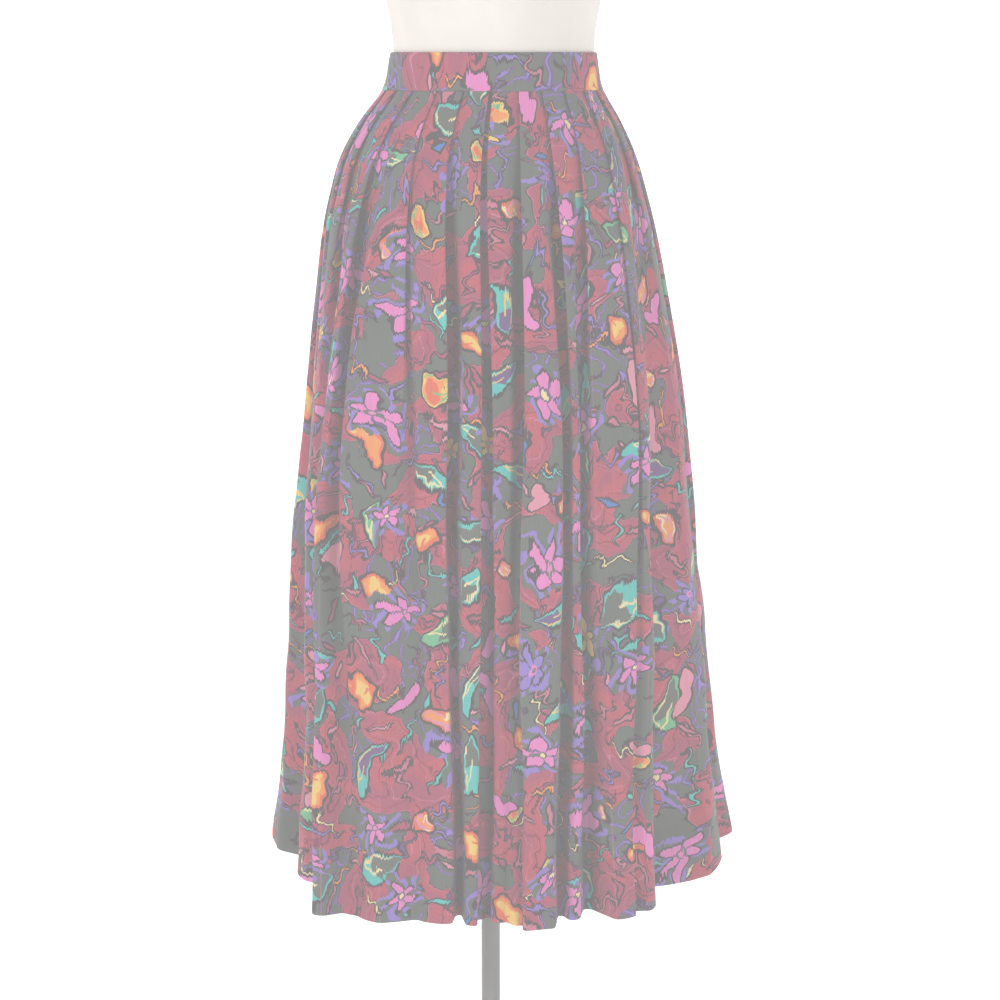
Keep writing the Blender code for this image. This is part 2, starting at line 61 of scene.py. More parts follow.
SQUARENESS = (2.0, 2.5)  # power of the outline, at the waist and at the hem
OUTLINE_SPAN, OUTLINE_POINTS = 200.0, 1601  # degrees to either side of the front
TOP_OVERLAP = 0.0180
FOLD_LEAN = (1.0, 0.3)
BELT_SLACK = 2.3
OPEN_GAPE = 0.012
OPEN_ROLL = 1.75  # how much rounder, as a share of its depth, a fold may be once it gapes
FOLD_SOFTENING = 1.3
REACH_GROWTH = 1.5
BELLY = 0.03
FOLD_CLEAR = 0.0004
FLOOR_LEAST = 0.0016
FLAT_LEAST = 0.0045
FLAT_ROOM = 0.025  # a face shorter than this has no climb left after its wall
FOLD_STEPS = 7
BACK_STEPS = 3
SLOT_FLOOR = 0.45  # share of a slot's width that is its level floor
WALL_RUN = 0.0035  # least run of the wall beyond the slot
WALL_BEND = 0.0042  # keeps the foot of the wall from bending more tightly than the cloth is thick
WALL_STEPS = 8
FLOOR_SHARES = np.array([0.35, 0.70])
FLAT_SHARES = np.array([0.08, 0.18, 0.32, 0.48, 0.64, 0.80, 0.92])
FACE_STEPS = len(FLOOR_SHARES) + WALL_STEPS + len(FLAT_SHARES)
TILT = 0.22  # how much of its depth a face has still to climb beyond the wall
CENTRE_FRONT = (-0.9, -4.5)  # degrees, at the waistband and at the hem
SIDE_SEAM_PLEAT = 6
MID_DROP = 0.300  # where the pleat tables' column "mid" holds

# Worn outline of the skirt, in millimetres, with the drop below the waistband's upper edge
OUTLINE = np.array([
    # drop, half width, half depth, shift
    (  0, 114.3, 104.0,  4.0),
    ( 41, 123.3, 112.0,  3.0),
    ( 74, 145.0, 125.0,  0.0),
    (107, 162.4, 137.0, -2.0),
    (163, 179.8, 151.0, -2.0),
    (275, 200.0, 169.0,  1.7),
    (389, 216.4, 184.0,  5.0),
    (505, 229.2, 197.0,  4.6),
    (623, 238.7, 208.0,  7.5),
    (743, 248.4, 218.0, 10.5),
    (866, 261.7, 228.0, 12.4),
    (930, 269.0, 233.0, 14.2),
]) / 1000.0
# Each pleat from the centre front to the centre back: place of its fold at the waistband, below the hips
# and at the hem (degrees), then in millimetres how far the fold stands out at the hem, its depth below the
# hips and at the hem, how wide it gapes at the hem, the radius of its roll, and the slot's width beside it
RIGHT_PLEATS = np.array([
    # waist, mid,   hem, reach, mid, hem, gape, roll, slot
    (  0.3,   -0.2,    -1, -12, 12, 12,  5,  4,  4),
    ( 13.5,    9.9,   5.8,  16, 24, 18,  6, 10, 13),
    (   26,   24.4,  16.4, -10, 26, 14, 10,  6, 12),
    (   40,   31.5,    28,   0, 14, 40, 26, 10, 26),
    (   55,   49.5,  38.5,  -4,  6,  9, 12,  6,  2),
    (   70,   70.3,    69, -14, 14, 62, 84,  9, 60),
    (   85,   86.5,    92,   0, 14, 22, 20, 12,  6),
    (  100,    102,   107,   4, 14, 34, 18, 10,  6),
    (  115,  116.7,   121,  -8, 14, 12, 22, 10,  6),
    (  130,  131.2,   134,   6, 14, 38, 20, 12,  6),
    (  145,  146.2,   149,  -4, 14, 12, 20, 10,  6),
    (  160,  160.6,   162,   8, 14, 34, 16, 12,  6),
])
LEFT_PLEATS = np.array([
    (   -2,   -3.5,  -6.2,   6, 12, 20,  5,  4,  4),
    (-15.5,  -13.9, -13.4,   0, 26, 26,  8,  5, 15),
    (  -30,  -27.5,   -29,  12, 11, 20, 32, 12,  2),
    (  -46,    -54,   -43,  32, 24, 22, 18, 10, 12),
    (  -61,    -67, -63.5, -18, 14, 46, 46,  8, 40),
    (  -76,  -77.5,   -76, -34, 13, 10, 18,  8,  4),
    (  -91,    -90,   -86,   0, 14, 50, 24, 12,  6),
    ( -106,   -105,  -103,   4, 14, 14, 20, 10,  6),
    ( -121,   -120,  -118,  -6, 14, 34, 22, 12,  6),
    ( -136, -135.4,  -134,   6, 14, 12, 22, 10,  6),
    ( -151, -150.7,  -150,  -4, 14, 36, 20, 12,  6),
    ( -166,   -166,  -166,   6, 14, 14, 14, 10,  6),
])


def smooth_table(table, at):
    """Cubic curve through a table whose first column is the key: Hermite spans with mean slopes."""
    key, values = table[:, 0], table[:, 1:]
    slopes = np.gradient(values, key, axis=0)
    at = np.clip(at, key[0], key[-1])
    low = np.clip(np.searchsorted(key, at, side="right") - 1, 0, len(key) - 2)
    step = (key[low + 1] - key[low])[..., None]
    t = (at - key[low])[..., None] / step
    return ((2 * t**3 - 3 * t**2 + 1) * values[low] + (t**3 - 2 * t**2 + t) * step * slopes[low]
            + (3 * t**2 - 2 * t**3) * values[low + 1] + (t**3 - t**2) * step * slopes[low + 1])


def unit(vectors):
    """Each vector over its own length."""
    return vectors / np.linalg.norm(vectors, axis=-1, keepdims=True)


def ease(share):
    """Smooth passage from 0 to 1: 3 s^2 - 2 s^3, level before 0 and after 1."""
    share = np.clip(share, 0.0, 1.0)
    return share * share * (3.0 - 2.0 * share)


class Section:
    """Outline of the worn skirt at one drop: |x/a|^n + |y/b|^n = 1, measured along its length."""

    def __init__(self, drop):
        self.drop = drop
        self.half_width, self.half_depth, self.shift = smooth_table(OUTLINE, np.array(drop))
        self.power = np.interp(drop, (0.0, HEM_DROP), SQUARENESS)
        self.turn = np.radians(np.linspace(-OUTLINE_SPAN, OUTLINE_SPAN, OUTLINE_POINTS))
        across, ahead = np.sin(self.turn), np.cos(self.turn)
        reach = (np.abs(across / self.half_width) ** self.power
                 + np.abs(ahead / self.half_depth) ** self.power) ** (-1.0 / self.power)
        self.points = np.stack([reach * across, -reach * ahead], axis=1)
        steps = np.linalg.norm(np.diff(self.points, axis=0), axis=1)
        along = np.concatenate([[0.0], np.cumsum(steps)])
        self.along = along - np.interp(0.0, self.turn, along)
        run = unit(np.gradient(self.points, axis=0))
        self.outward = np.stack([run[:, 1], -run[:, 0]], axis=1)
        self.girth = np.diff(np.interp((-math.pi, math.pi), self.turn, self.along))[0]

    def place_of(self, degrees):
        """Length from the front to the point seen at x = half width times the sine of the angle."""
        angle = np.radians(degrees)
        across = np.sin(angle)
        ahead = np.sign(np.cos(angle)) * (1.0 - np.abs(across) ** self.power) ** (1.0 / self.power)
        turn = np.arctan2(self.half_width * across, self.half_depth * ahead)
        turn = np.where(np.abs(turn - angle) > math.pi, turn + np.sign(angle) * 2.0 * math.pi, turn)
        return np.interp(turn, self.turn, self.along)

    def to_world(self, along, out):
        """Point at a length round the outline and a distance out of it, lifted a little at the sides."""
        base = [np.interp(along, self.along, self.points[:, k]) for k in (0, 1)]
        normal = [np.interp(along, self.along, self.outward[:, k]) for k in (0, 1)]
        x, y = base[0] + out * normal[0], base[1] + out * normal[1]
        lift = SIDE_LIFT * (x / self.half_width) ** 4 * (self.drop / HEM_DROP) ** 2
        return np.stack([x + self.shift, y, np.full_like(x, WAIST_HEIGHT - self.drop) + lift], axis=-1)


def belt_side(start, end, radii):
    """Unit normal of the line that crosses between two discs: normal . (end - start) = sum of the radii."""
    gap = end - start
    angle = np.arccos(np.clip(radii / np.linalg.norm(gap, axis=1), -1.0, 1.0))
    (x, y), c, s = unit(gap).T, np.cos(angle), np.sin(angle)
    return np.stack([c * x - s * y, s * x + c * y], axis=1)


def arc(centre, radius, start, end, way):
    """Points round each disc from one direction to another, clockwise if way is -1."""
    first = np.arctan2(start[:, 1], start[:, 0])
    last = np.arctan2(end[:, 1], end[:, 0])
    sweep = way * np.mod(way * (last - first), 2.0 * math.pi)
    angle = first[:, None] + sweep[:, None] * np.linspace(0.0, 1.0, FOLD_STEPS)
    return centre[:, None] + radius[:, None, None] * np.stack([np.cos(angle), np.sin(angle)], axis=-1)


def widest_roll(run, depth, lean):
    """Largest radius r of two equal discs that a belt crosses between: the root of
    (BELT_SLACK r)^2 = (run - 2 lean r)^2 + (depth - 2 r)^2."""
    square = BELT_SLACK**2 - 4.0 - 4.0 * lean**2
    slope = 4.0 * (lean * run + depth)
    constant = run**2 + depth**2
    return 2.0 * constant / (slope + np.sqrt(np.maximum(slope**2 + 4.0 * square * constant, 0.0)))


def half_line(section, pleats, centre):
    """Middle line of the cloth from the centre back to the centre front of one side.

    At each fold the cloth runs over a disc, back and down to a disc at the pleat's bottom, level along the
    bottom to the far side of the slot, up a steep wall, and along the next pleat's face to its fold.
    """
    waist, middle, hem, reach, mid_depth, hem_depth, gape, roll, slot = pleats.T
    down = (section.drop - BAND_WIDTH) / (HEM_DROP - BAND_WIDTH)
    mid = (MID_DROP - BAND_WIDTH) / (HEM_DROP - BAND_WIDTH)
    degrees = smooth_table(np.column_stack([(0.0, mid, 1.0), (waist, middle, hem)]), np.array(down))
    fold = -np.abs(section.place_of(degrees) - centre)
    rise = ease(down / mid)
    fall = np.clip((down - mid) / (1.0 - mid), 0.0, 1.0)
    pressed = 1000.0 * PRESSED_DEPTH
    depth = 0.001 * (pressed + (mid_depth - pressed) * rise + (hem_depth - mid_depth) * fall)
    overlap = TOP_OVERLAP * (1.0 - down) ** 2 - 0.001 * gape * down
    reach = 0.001 * reach * down ** REACH_GROWTH
    lean = np.interp(down, (0.0, 1.0), FOLD_LEAN)
    opened = np.clip(-overlap / OPEN_GAPE, 0.0, 1.0)
    radius = FOLD_RADIUS + (0.001 * roll - FOLD_RADIUS) * down ** FOLD_SOFTENING
    radius = np.minimum(radius, widest_roll(np.abs(overlap), depth, lean * np.sign(overlap)))
    radius = np.minimum(radius, depth * (FOLD_RADIUS / PRESSED_DEPTH + OPEN_ROLL * opened))
    radius = np.maximum(radius, FOLD_RADIUS)

    top = reach - WALL_MIDDLE
    over = np.stack([fold - lean * radius, top - radius], axis=1)
    under = np.stack([fold - overlap + lean * radius, top - depth + radius], axis=1)
    back_fold = belt_side(over, under, 2.0 * radius)
    up = np.array([[0.0, 1.0]])
    over_arc = arc(over, radius, up, back_fold, -1.0)
    under_arc = arc(under, radius, -back_fold, -up, 1.0)
    share = np.linspace(0.0, 1.0, BACK_STEPS + 2)[1:-1, None]
    behind = over_arc[:, -1:] + (under_arc[:, :1] - over_arc[:, -1:]) * share

    start, end = under_arc[1:, -1], over_arc[:-1, 0]
    last = np.minimum(fold[:-1] - overlap[:-1], end[:, 0]) - FOLD_CLEAR
    low = fold[1:] + FOLD_CLEAR + 0.001 * slot[1:] * SLOT_FLOOR * rise
    low = np.minimum(np.maximum(low, start[:, 0] + FLOOR_LEAST), last - FOLD_CLEAR)
    room = last - low
    run = np.maximum(0.001 * slot[1:] * (1.0 - SLOT_FLOOR) + WALL_RUN, np.sqrt(WALL_BEND * depth[1:]))
    high = low + room + (np.minimum(run, room) - room) * rise
    high = np.minimum(high, np.maximum(end[:, 0] - FLAT_LEAST * rise, low + FOLD_CLEAR))
    knots = np.stack([start[:, 0], low, high, end[:, 0]], axis=1)
    stretches = enumerate((FLOOR_SHARES, np.linspace(0.0, 1.0, WALL_STEPS), FLAT_SHARES))
    place = np.concatenate([knots[:, k:k + 1] + (knots[:, k + 1:k + 2] - knots[:, k:k + 1]) * shares
                            for k, shares in stretches], axis=1)
    climb = ease((place - low[:, None]) / (high - low)[:, None])
    flat = np.clip((place - high[:, None]) / (end[:, 0] - high)[:, None], 0.0, 1.0)
    room_left = np.clip((end[:, 0] - high) / FLAT_ROOM, 0.0, 1.0)
    sag = TILT * (depth[1:] * room_left)[:, None] * rise * (1.0 - flat) ** 1.5
    bow = BELLY * down * (end[:, 0] - high)[:, None] * np.sin(math.pi * flat)
    out = start[:, 1:] + (end - start)[:, 1:] * climb - sag * climb + bow
    faces = np.stack([place, out], axis=-1)

    blocks = np.concatenate([over_arc[1:], behind[1:], under_arc[1:], faces], axis=1)[::-1].reshape(-1, 2)
    return np.concatenate([blocks, over_arc[0], behind[0], under_arc[0]])


ROW_COUNT = 98
HEM_STEP = 0.0012  # the cloth thickens over this much at the turned-up hem's edge
HEM_EXTRA = 0.0003  # half of what the turned-up hem adds to its thickness
TOP_ROUND, HEM_ROUND = 0.0020, 0.0015  # the panels' edges are rounded off over this much
TOP_THIN, HEM_THIN, SIDE_THIN = 0.5, 0.6, 0.6
HEM_TOP = HEM_DROP - HEM_DEPTH
ROW_DROPS = np.sort(np.concatenate([
    np.linspace(BAND_WIDTH + SEAM_GAP, HEM_DROP, ROW_COUNT),
    [BAND_WIDTH + TOP_ROUND / 2.0, BAND_WIDTH + TOP_ROUND, HEM_TOP - HEM_STEP, HEM_TOP + HEM_STEP,
     HEM_DROP - HEM_ROUND, HEM_DROP - 0.4 * HEM_ROUND]]))
PLEAT_STEPS = 2 * FOLD_STEPS + BACK_STEPS + FACE_STEPS
BACK_BOX_STEPS = 12
CREST_COLUMNS = 1.5
SIDE_COLUMN = (len(LEFT_PLEATS) - 1 - SIDE_SEAM_PLEAT) * PLEAT_STEPS - FACE_STEPS // 2 - 1
OCCLUSION_COLUMNS = 90
OCCLUSION_REACH = (0.0015, 0.050)
DRAPE_START, DRAPE_SPAN = 0.16, 0.50
BACK_FADE = 0.05
# Height, swings round the skirt and down it, and phase of the waves along the outline and out of it
SWAY = ((0.0028, 41.0, 5.0, 0.0), (0.0016, 73.0, -9.0, 1.0), (0.0010, 19.0, 23.0, 2.0))
SWELL = ((0.0026, 57.0, -6.0, 0.5), (0.0017, 88.0, 8.0, 0.0), (0.0009, 31.0, 37.0, 4.0),
         (0.0005, 120.0, -60.0, 0.0))


def waves(table, along, drop):
    """Sum over a table's rows of h sin(a u + b v + p), with u the length round the skirt and v the drop."""
    return sum(height * np.sin(along * round_it + drop * down_it + phase)
               for height, round_it, down_it, phase in table)


def drape(lines):
    """The cloth's own unevenness: a push along the outline and one out of it that grow below the hips and
    fade at the back seam. Each is a sum of sine waves."""
    along, drop = lines[..., 0], ROW_DROPS[:, None]
    loose = np.clip((drop - DRAPE_START) / DRAPE_SPAN, 0.0, 1.0) ** 1.5
    back = np.abs(along[:, [0, -1]]).min(axis=1, keepdims=True)
    loose = loose * ease((back - np.abs(along)) / BACK_FADE)
    push = np.stack([waves(SWAY, along, drop), waves(SWELL, along, drop)], axis=-1)
    return lines + push * loose[..., None]


def skirt_rows():
    """Middle line of the cloth at every row, as lengths round the outline and distances out of it, and the
    rows' outlines."""
    lines, sections = [], [Section(drop) for drop in ROW_DROPS]
    share = np.linspace(0.0, 1.0, BACK_BOX_STEPS, endpoint=False)[:, None]
    for section in sections:
        centre = section.place_of(np.interp(section.drop, (BAND_WIDTH, HEM_DROP), CENTRE_FRONT))
        left = half_line(section, LEFT_PLEATS, centre) + (centre, 0.0)
        right = (half_line(section, RIGHT_PLEATS, centre) * (-1.0, 1.0) + (centre, 0.0))[::-1]
        back, level = (left[0] + (section.girth, 0.0) + right[-1]) / 2.0
        first = np.array([back - section.girth + SEAM_GAP / 2.0, level])
        last = np.array([back - SEAM_GAP / 2.0, level])
        lines.append(np.concatenate([first + (left[0] - first) * share, left, right,
                                     (last + (right[-1] - last) * share)[::-1]]))
    return np.array(lines), sections


def shelter(line):
    """How far the folds beside each point close it off: the steepest angle up to the cloth on its one side
    plus that on its other, as a share of the half turn. The crepe paints shade into the folds by it."""
    left, right = np.zeros(line.shape[:2]), np.zeros(line.shape[:2])
    for ahead in range(1, OCCLUSION_COLUMNS):
        run, rise = np.moveaxis(line[:, ahead:] - line[:, :-ahead], -1, 0)
        far = np.hypot(run, rise)
        near = (far > OCCLUSION_REACH[0]) & (far < OCCLUSION_REACH[1])
        right[:, :-ahead] = np.maximum(right[:, :-ahead], np.where(near, np.arctan2(rise, run), 0.0))
        left[:, ahead:] = np.maximum(left[:, ahead:], np.where(near, np.arctan2(-rise, run), 0.0))
    return np.clip((left + right) / math.pi, 0.0, 1.0)


def two_skins(line, sections, half):
    """Outer and inner skin: the line pushed half a thickness to either side, then put into the world."""
    run = unit(np.gradient(line, axis=1))
    push = np.stack([-run[..., 1], run[..., 0]], axis=-1) * half[..., None]
    return [np.stack([section.to_world(*row.T) for section, row in zip(sections, skin)])
            for skin in (line + push, line - push)]


def new_piece(name, points, faces, sharp=180.0):
    """A mesh as an object at the origin, smooth but for edges that turn by more than this many degrees."""
    mesh = bpy.data.meshes.new(name)
    mesh.from_pydata(points.tolist(), [], faces)
    mesh.shade_smooth()
    mesh.set_sharp_from_angle(angle=math.radians(sharp))
    piece = bpy.data.objects.new(name, mesh)
    bpy.context.collection.objects.link(piece)
    return piece


def closed_sheet(name, outer, inner, cloth_uv, marks):
    """A closed wall between two grids of points that join round the rim, with the cloth's own UV in metres
    and marks, which are numbers that its material reads."""
    rows, columns = outer.shape[:2]
    count = rows * columns
    index = np.arange(count).reshape(rows, columns)
    a, b, c, d = index[:-1, :-1], index[1:, :-1], index[1:, 1:], index[:-1, 1:]
    front = np.stack([a, b, c, d], axis=-1).reshape(-1, 4)
    back = np.stack([a, d, c, b], axis=-1).reshape(-1, 4) + count
    rim = np.concatenate([index[:, 0], index[-1, 1:], index[-2::-1, -1], index[0, -2:0:-1]])
    ahead = np.roll(rim, -1)
    faces = np.concatenate([front, back, np.stack([ahead, rim, rim + count, ahead + count], axis=-1)])
    points = np.concatenate([outer.reshape(-1, 3), inner.reshape(-1, 3)])
    piece = new_piece(name, points, faces.tolist(), 60.0)
    flat = np.concatenate([cloth_uv.reshape(-1, 2)] * 2)[faces.ravel()]
    piece.data.uv_layers.new(name="cloth").data.foreach_set("uv", flat.astype(np.float32).ravel())
    for key, values in marks.items():
        made = piece.data.attributes.new(key, "FLOAT", "POINT")
        made.data.foreach_set("value", np.concatenate([values.ravel()] * 2).astype(np.float32))
    return piece


class Wire:
    """One socket of a material. Arithmetic between wires and numbers adds Math nodes."""

    def __init__(self, socket):
        self.socket = socket

    def node(self, kind, settings, inputs, out=0):
        """Adds a node: its settings first, then the values or links of its sockets."""
        tree = self.socket.id_data
        made = tree.nodes.new(kind)
        for key, value in settings.items():
            if key == "stops":
                ramp = made.color_ramp
                while len(ramp.elements) < len(value):
                    ramp.elements.new(1.0)
                for element, (place, colour) in zip(ramp.elements, value):
                    element.position = place
                    element.color = colour
            elif key == "between":
                made.color_ramp.interpolation = value
            else:
                setattr(made, key, value)
        for key, value in inputs.items():
            if isinstance(value, Wire):
                tree.links.new(value.socket, made.inputs[key])
            else:
                made.inputs[key].default_value = value
        return Wire(made.outputs[out])

    def math(self, operation, *others):
        """A Math node that starts from this number."""
        return self.node("ShaderNodeMath", {"operation": operation}, dict(enumerate((self, *others))))

    def vector(self, operation, other=(0.0, 0.0, 0.0), out=0):
        """A Vector Math node that starts from this vector."""
        return self.node("ShaderNodeVectorMath", {"operation": operation}, {0: self, 1: other}, out)

    def __add__(self, other):
        return self.math("ADD", other)

    def __sub__(self, other):
        return self.math("SUBTRACT", other)

    def __rsub__(self, other):
        return self.math("MULTIPLY_ADD", -1.0, other)

    def __mul__(self, other):
        return self.math("MULTIPLY", other)

    def __pow__(self, other):
        return self.math("POWER", other)

    def __abs__(self):
        return self.math("ABSOLUTE")

    def __lt__(self, other):
        return self.math("LESS_THAN", other)

    def __gt__(self, other):
        return self.math("GREATER_THAN", other)

    __radd__ = __add__
    __rmul__ = __mul__

    def part(self, k):
        """One component of a vector or colour."""
        return self.node("ShaderNodeSeparateXYZ", {}, {0: self}, k)

    def joined(self, y, z=0.0):
        """A vector whose first component is this number."""
        return self.node("ShaderNodeCombineXYZ", {}, {0: self, 1: y, 2: z})

    def noise(self, scale, detail=0.0, out=0, sides="2D"):
        """Smooth noise about 0.5 over a vector, with this many swings a metre."""
        return self.node("ShaderNodeTexNoise", {"noise_dimensions": sides},
                         {"Vector": self, "Scale": scale, "Detail": detail}, out)

    def grain(self, scale, detail=0.0):
        """The same noise through a solid."""
        return self.noise(scale, detail, sides="3D")

    def mark(self, name):
        """The number that the mesh carries under this name."""
        return self.node("ShaderNodeAttribute", {"attribute_name": name}, {}, 2)

    def pick(self, if_not, if_so):
        """One of two numbers, by this mask of 0 or 1."""
        return self.node("ShaderNodeMix", {}, {0: self, 2: if_not, 3: if_so})

    def laid(self, mask, colour):
        """This colour with another one laid over it where the mask is 1."""
        return self.node("ShaderNodeMix", {"data_type": "RGBA"}, {0: mask, 6: self, 7: colour}, 2)

    def choice(self, *stops):
        """A colour by lot: each stop is (where its span starts, colour)."""
        return self.node("ShaderNodeValToRGB", {"between": "CONSTANT", "stops": stops}, {0: self})

    def blend(self, low, low_colour, high, high_colour):
        """A colour that passes from one to another between two values."""
        stops = ((low, low_colour), (high, high_colour))
        return self.node("ShaderNodeValToRGB", {"stops": stops}, {0: self})

    def step(self, start, end):
        """0 before start, 1 after end, smooth between."""
        return self.node("ShaderNodeMapRange", {"interpolation_type": "SMOOTHSTEP"},
                         {0: self, 1: start, 2: end})

    def bump(self, strength, distance):
        """The surface normal over this relief."""
        return self.node("ShaderNodeBump", {}, {"Height": self, "Strength": strength, "Distance": distance})


def new_material(name, kind="ShaderNodeTexCoord", output="Object"):
    """A new material, and the wire of the coordinates that its pattern reads."""
    made = bpy.data.materials.new(name)
    made.use_nodes = True
    return made, Wire(made.node_tree.nodes.new(kind).outputs[output])


def set_shader(made, sockets):
    """Links each wire to its socket of the shader and sets each constant on its own. Gives the material."""
    shader = made.node_tree.nodes["Principled BSDF"]
    for key, value in sockets.items():
        if isinstance(value, Wire):
            made.node_tree.links.new(value.socket, shader.inputs[key])
        else:
            shader.inputs[key].default_value = value
    return made


def linear(red, green, blue):
    """Scene colour of a screen colour given from 0 to 255."""
    screen = np.array([red, green, blue]) / 255.0
    return (*np.where(screen <= 0.04045, screen / 12.92, ((screen + 0.055) / 1.055) ** 2.4).tolist(), 1.0)


STITCH_HALF = 0.00035
HEM_STITCH = (0.0030, 0.0070, 0.10)  # below the fold line, pitch, share of it that shows
PAINTED_GLOW = (0.200, 0.200, 0.200)  # painted glow of the cloth, no lamp: even its deep folds keep it
DARKEST = (0.012, 0.012, 0.012)
FOLD_SHADE = 0.46
STITCH_SHADE = 0.22
HEM_SHADE = 0.025
CREST_HIGHLIGHT_AND_WEAR = 0.30
BLOSSOM_LATTICE = ((0.092, 0.104), 3.0, 0.94)  # pitch across and along, seed, share of cells in use
LEAF_LATTICE = ((0.080, 0.092), 11.0, 0.94)
SPRIG_LATTICES = (((0.043, 0.052), 23.0, 0.92), ((0.036, 0.040), 31.0, 0.92))
STRAY = 0.44  # span over which a motif may stray, as a share of its cell
BLOSSOM_INK, LEAF_INK, SPRIG_INK = 0.0032, 0.0034, 0.0024  # the dark line round each motif
PETAL_REACH, WING_REACH, STROKE_REACH = 0.0138, 0.0155, 0.0125
EYE_REACH, CORE_REACH = 0.0052, 0.0031
LEAF_WIDTH, BUD_REACH, HOLLOW_DEPTH, CORE_DEPTH = 0.0130, 0.0125, 0.0026, 0.0066
CURL_WIDTH, DASH_WIDTH = 0.0015, 0.0021
WANDER, FINE_WANDER, TEETH = (0.050, 0.060), 0.007, 0.0038
POOL_EDGE = 0.478
CHARCOAL = linear(147, 149, 146)
INK = linear(134, 130, 132)
ROSE = linear(188, 136, 148)
BRICK = linear(202, 137, 144)
BLUSH = linear(226, 168, 182)
RIM = linear(208, 152, 164)
WINE = linear(162, 122, 134)
MAUVE = linear(152, 138, 164)
LAVENDER = linear(170, 155, 208)
PINK = linear(230, 160, 202)
TEAL = linear(138, 202, 196)
FERN = linear(150, 196, 164)
SKY = linear(134, 160, 204)
SALMON = linear(228, 148, 134)
CORAL = linear(238, 174, 136)
AMBER = linear(238, 206, 148)
STRAW = linear(238, 222, 182)


def scattered(place, pitch, seed, share):
    """Position on the motif of each cell of a half-drop lattice, set and turned by the cell's own lot, and
    lots for its size and its colour. A share of the cells hold a motif, and the others put it far away."""
    columns = place.part(0) * (1.0 / pitch[0])
    column = columns.math("FLOOR")
    rows = place.part(1) * (1.0 / pitch[1]) + column * 0.5
    row = rows.math("FLOOR")
    cell = column.joined(row, seed)
    lots = cell.node("ShaderNodeTexWhiteNoise", {"noise_dimensions": "3D"}, {"Vector": cell}, 1)
    x, y, z = (lots.part(k) for k in range(3))
    corner = 0.5 + STRAY / 2.0
    across = (columns - column - corner + x * STRAY) * pitch[0]
    along = (rows - row - corner + y * STRAY) * pitch[1]
    far = (z * 7.3).math("FRACT") > share
    own = across.joined(along + far)
    turned = own.node("ShaderNodeVectorRotate", {"rotation_type": "Z_AXIS"},
                      {"Vector": own, "Angle": z * 6.283})
    return turned, (x * 5.7).math("FRACT") * 0.5 + 0.75, (y * 9.1).math("FRACT")


def blossoms(colour, place):
    """Five-lobed flowers with a ringed eye on short lavender strokes: reach < r (1 + a cos 5t + b cos 2t).
    Some cells hold a winged petal instead: reach < r (c + d |cos t| + e sin 3t)."""
    own, size, lot = scattered(place, *BLOSSOM_LATTICE)
    reach = own.vector("LENGTH", out=1)
    turn = own.part(1).math("ARCTAN2", own.part(0))
    lobes = (turn * 5.0).math("COSINE")
    flower = (lobes * 0.40 + (turn * 2.0 + lot * 6.0).math("COSINE") * 0.16 + 1.0) * size * PETAL_REACH
    winged = abs(turn.math("COSINE")) * 0.80 + (turn * 3.0).math("SINE") * 0.22 + 0.36
    is_flower = lot < 0.66
    past = reach - is_flower.pick(winged * WING_REACH, flower)
    strokes = (turn * 9.0 + reach * 300.0).math("COSINE")
    petals = lot.choice((0.0, PINK), (0.50, LAVENDER), (0.56, AMBER), (0.66, PINK), (0.90, BLUSH))
    eye = lot.choice((0.0, CHARCOAL), (0.30, MAUVE), (0.50, PINK), (0.56, SALMON), (0.66, PINK),
                     (0.90, BLUSH))
    core = lot.choice((0.0, PINK), (0.25, STRAW), (0.50, CHARCOAL), (0.56, FERN), (0.66, PINK),
                      (0.90, BLUSH))
    around = (past < STROKE_REACH) * is_flower
    colour = colour.laid(around, CHARCOAL).laid(around * (strokes > 0.1) * (past > 0.0035), LAVENDER)
    colour = colour.laid(past < BLOSSOM_INK, INK).laid(past < 0.0, petals)
    veins = (lobes < -0.82) * (past < 0.0) * is_flower
    return colour.laid(veins, MAUVE).laid(reach < EYE_REACH, eye).laid(reach < CORE_REACH, core)


def leaves(colour, place):
    """Pointed leaves with a dark hollow and a bright sliver, |y + k x^2| < w (1 - (x / l)^2), or egg-shaped
    buds, reach < r (1 - a cos t + b cos 3t), lit along one flank."""
    own, size, lot = scattered(place, *LEAF_LATTICE)
    x, y = own.part(0), own.part(1)
    bulge = 1.0 - (x * 34.0) ** 2.0
    leaf = abs(y + x * x * 9.0) - bulge * size * LEAF_WIDTH
    turn = y.math("ARCTAN2", x)
    egg = turn.math("COSINE") * -0.34 + (turn * 3.0).math("COSINE") * 0.13 + 1.0
    is_leaf = lot < 0.52
    past = is_leaf.pick(own.vector("LENGTH", out=1) - egg * size * BUD_REACH, leaf)
    body = lot.choice((0.0, TEAL), (0.40, FERN), (0.52, SALMON), (0.78, AMBER), (0.90, SALMON))
    inner = lot.choice((0.0, CHARCOAL), (0.30, MAUVE), (0.40, CHARCOAL), (0.52, CORAL), (0.90, BLUSH))
    core = lot.choice((0.0, CHARCOAL), (0.30, MAUVE), (0.40, CHARCOAL), (0.52, AMBER), (0.78, SALMON),
                      (0.90, CORAL))
    glint = lot.choice((0.0, STRAW), (0.24, AMBER), (0.40, STRAW), (0.52, SALMON), (0.78, FERN),
                       (0.90, STRAW))
    colour = colour.laid(past < LEAF_INK, INK).laid(past < 0.0, body)
    waver = (turn * 3.0 + lot * 40.0).math("SINE") * 0.0012
    colour = colour.laid((past + waver < -HOLLOW_DEPTH) * (x < 0.004), inner)
    colour = colour.laid((past - waver * 1.5 < -CORE_DEPTH) * (x < 0.003), core)
    colour = colour.laid(abs(past + 0.0024) < (y * 260.0).math("SINE") * 0.0012, glint)
    sliver = abs(y * 2.2 - x * 0.4 + 0.002) < 0.0026
    return colour.laid((past < -HOLLOW_DEPTH) * sliver * (x > -0.004), glint)


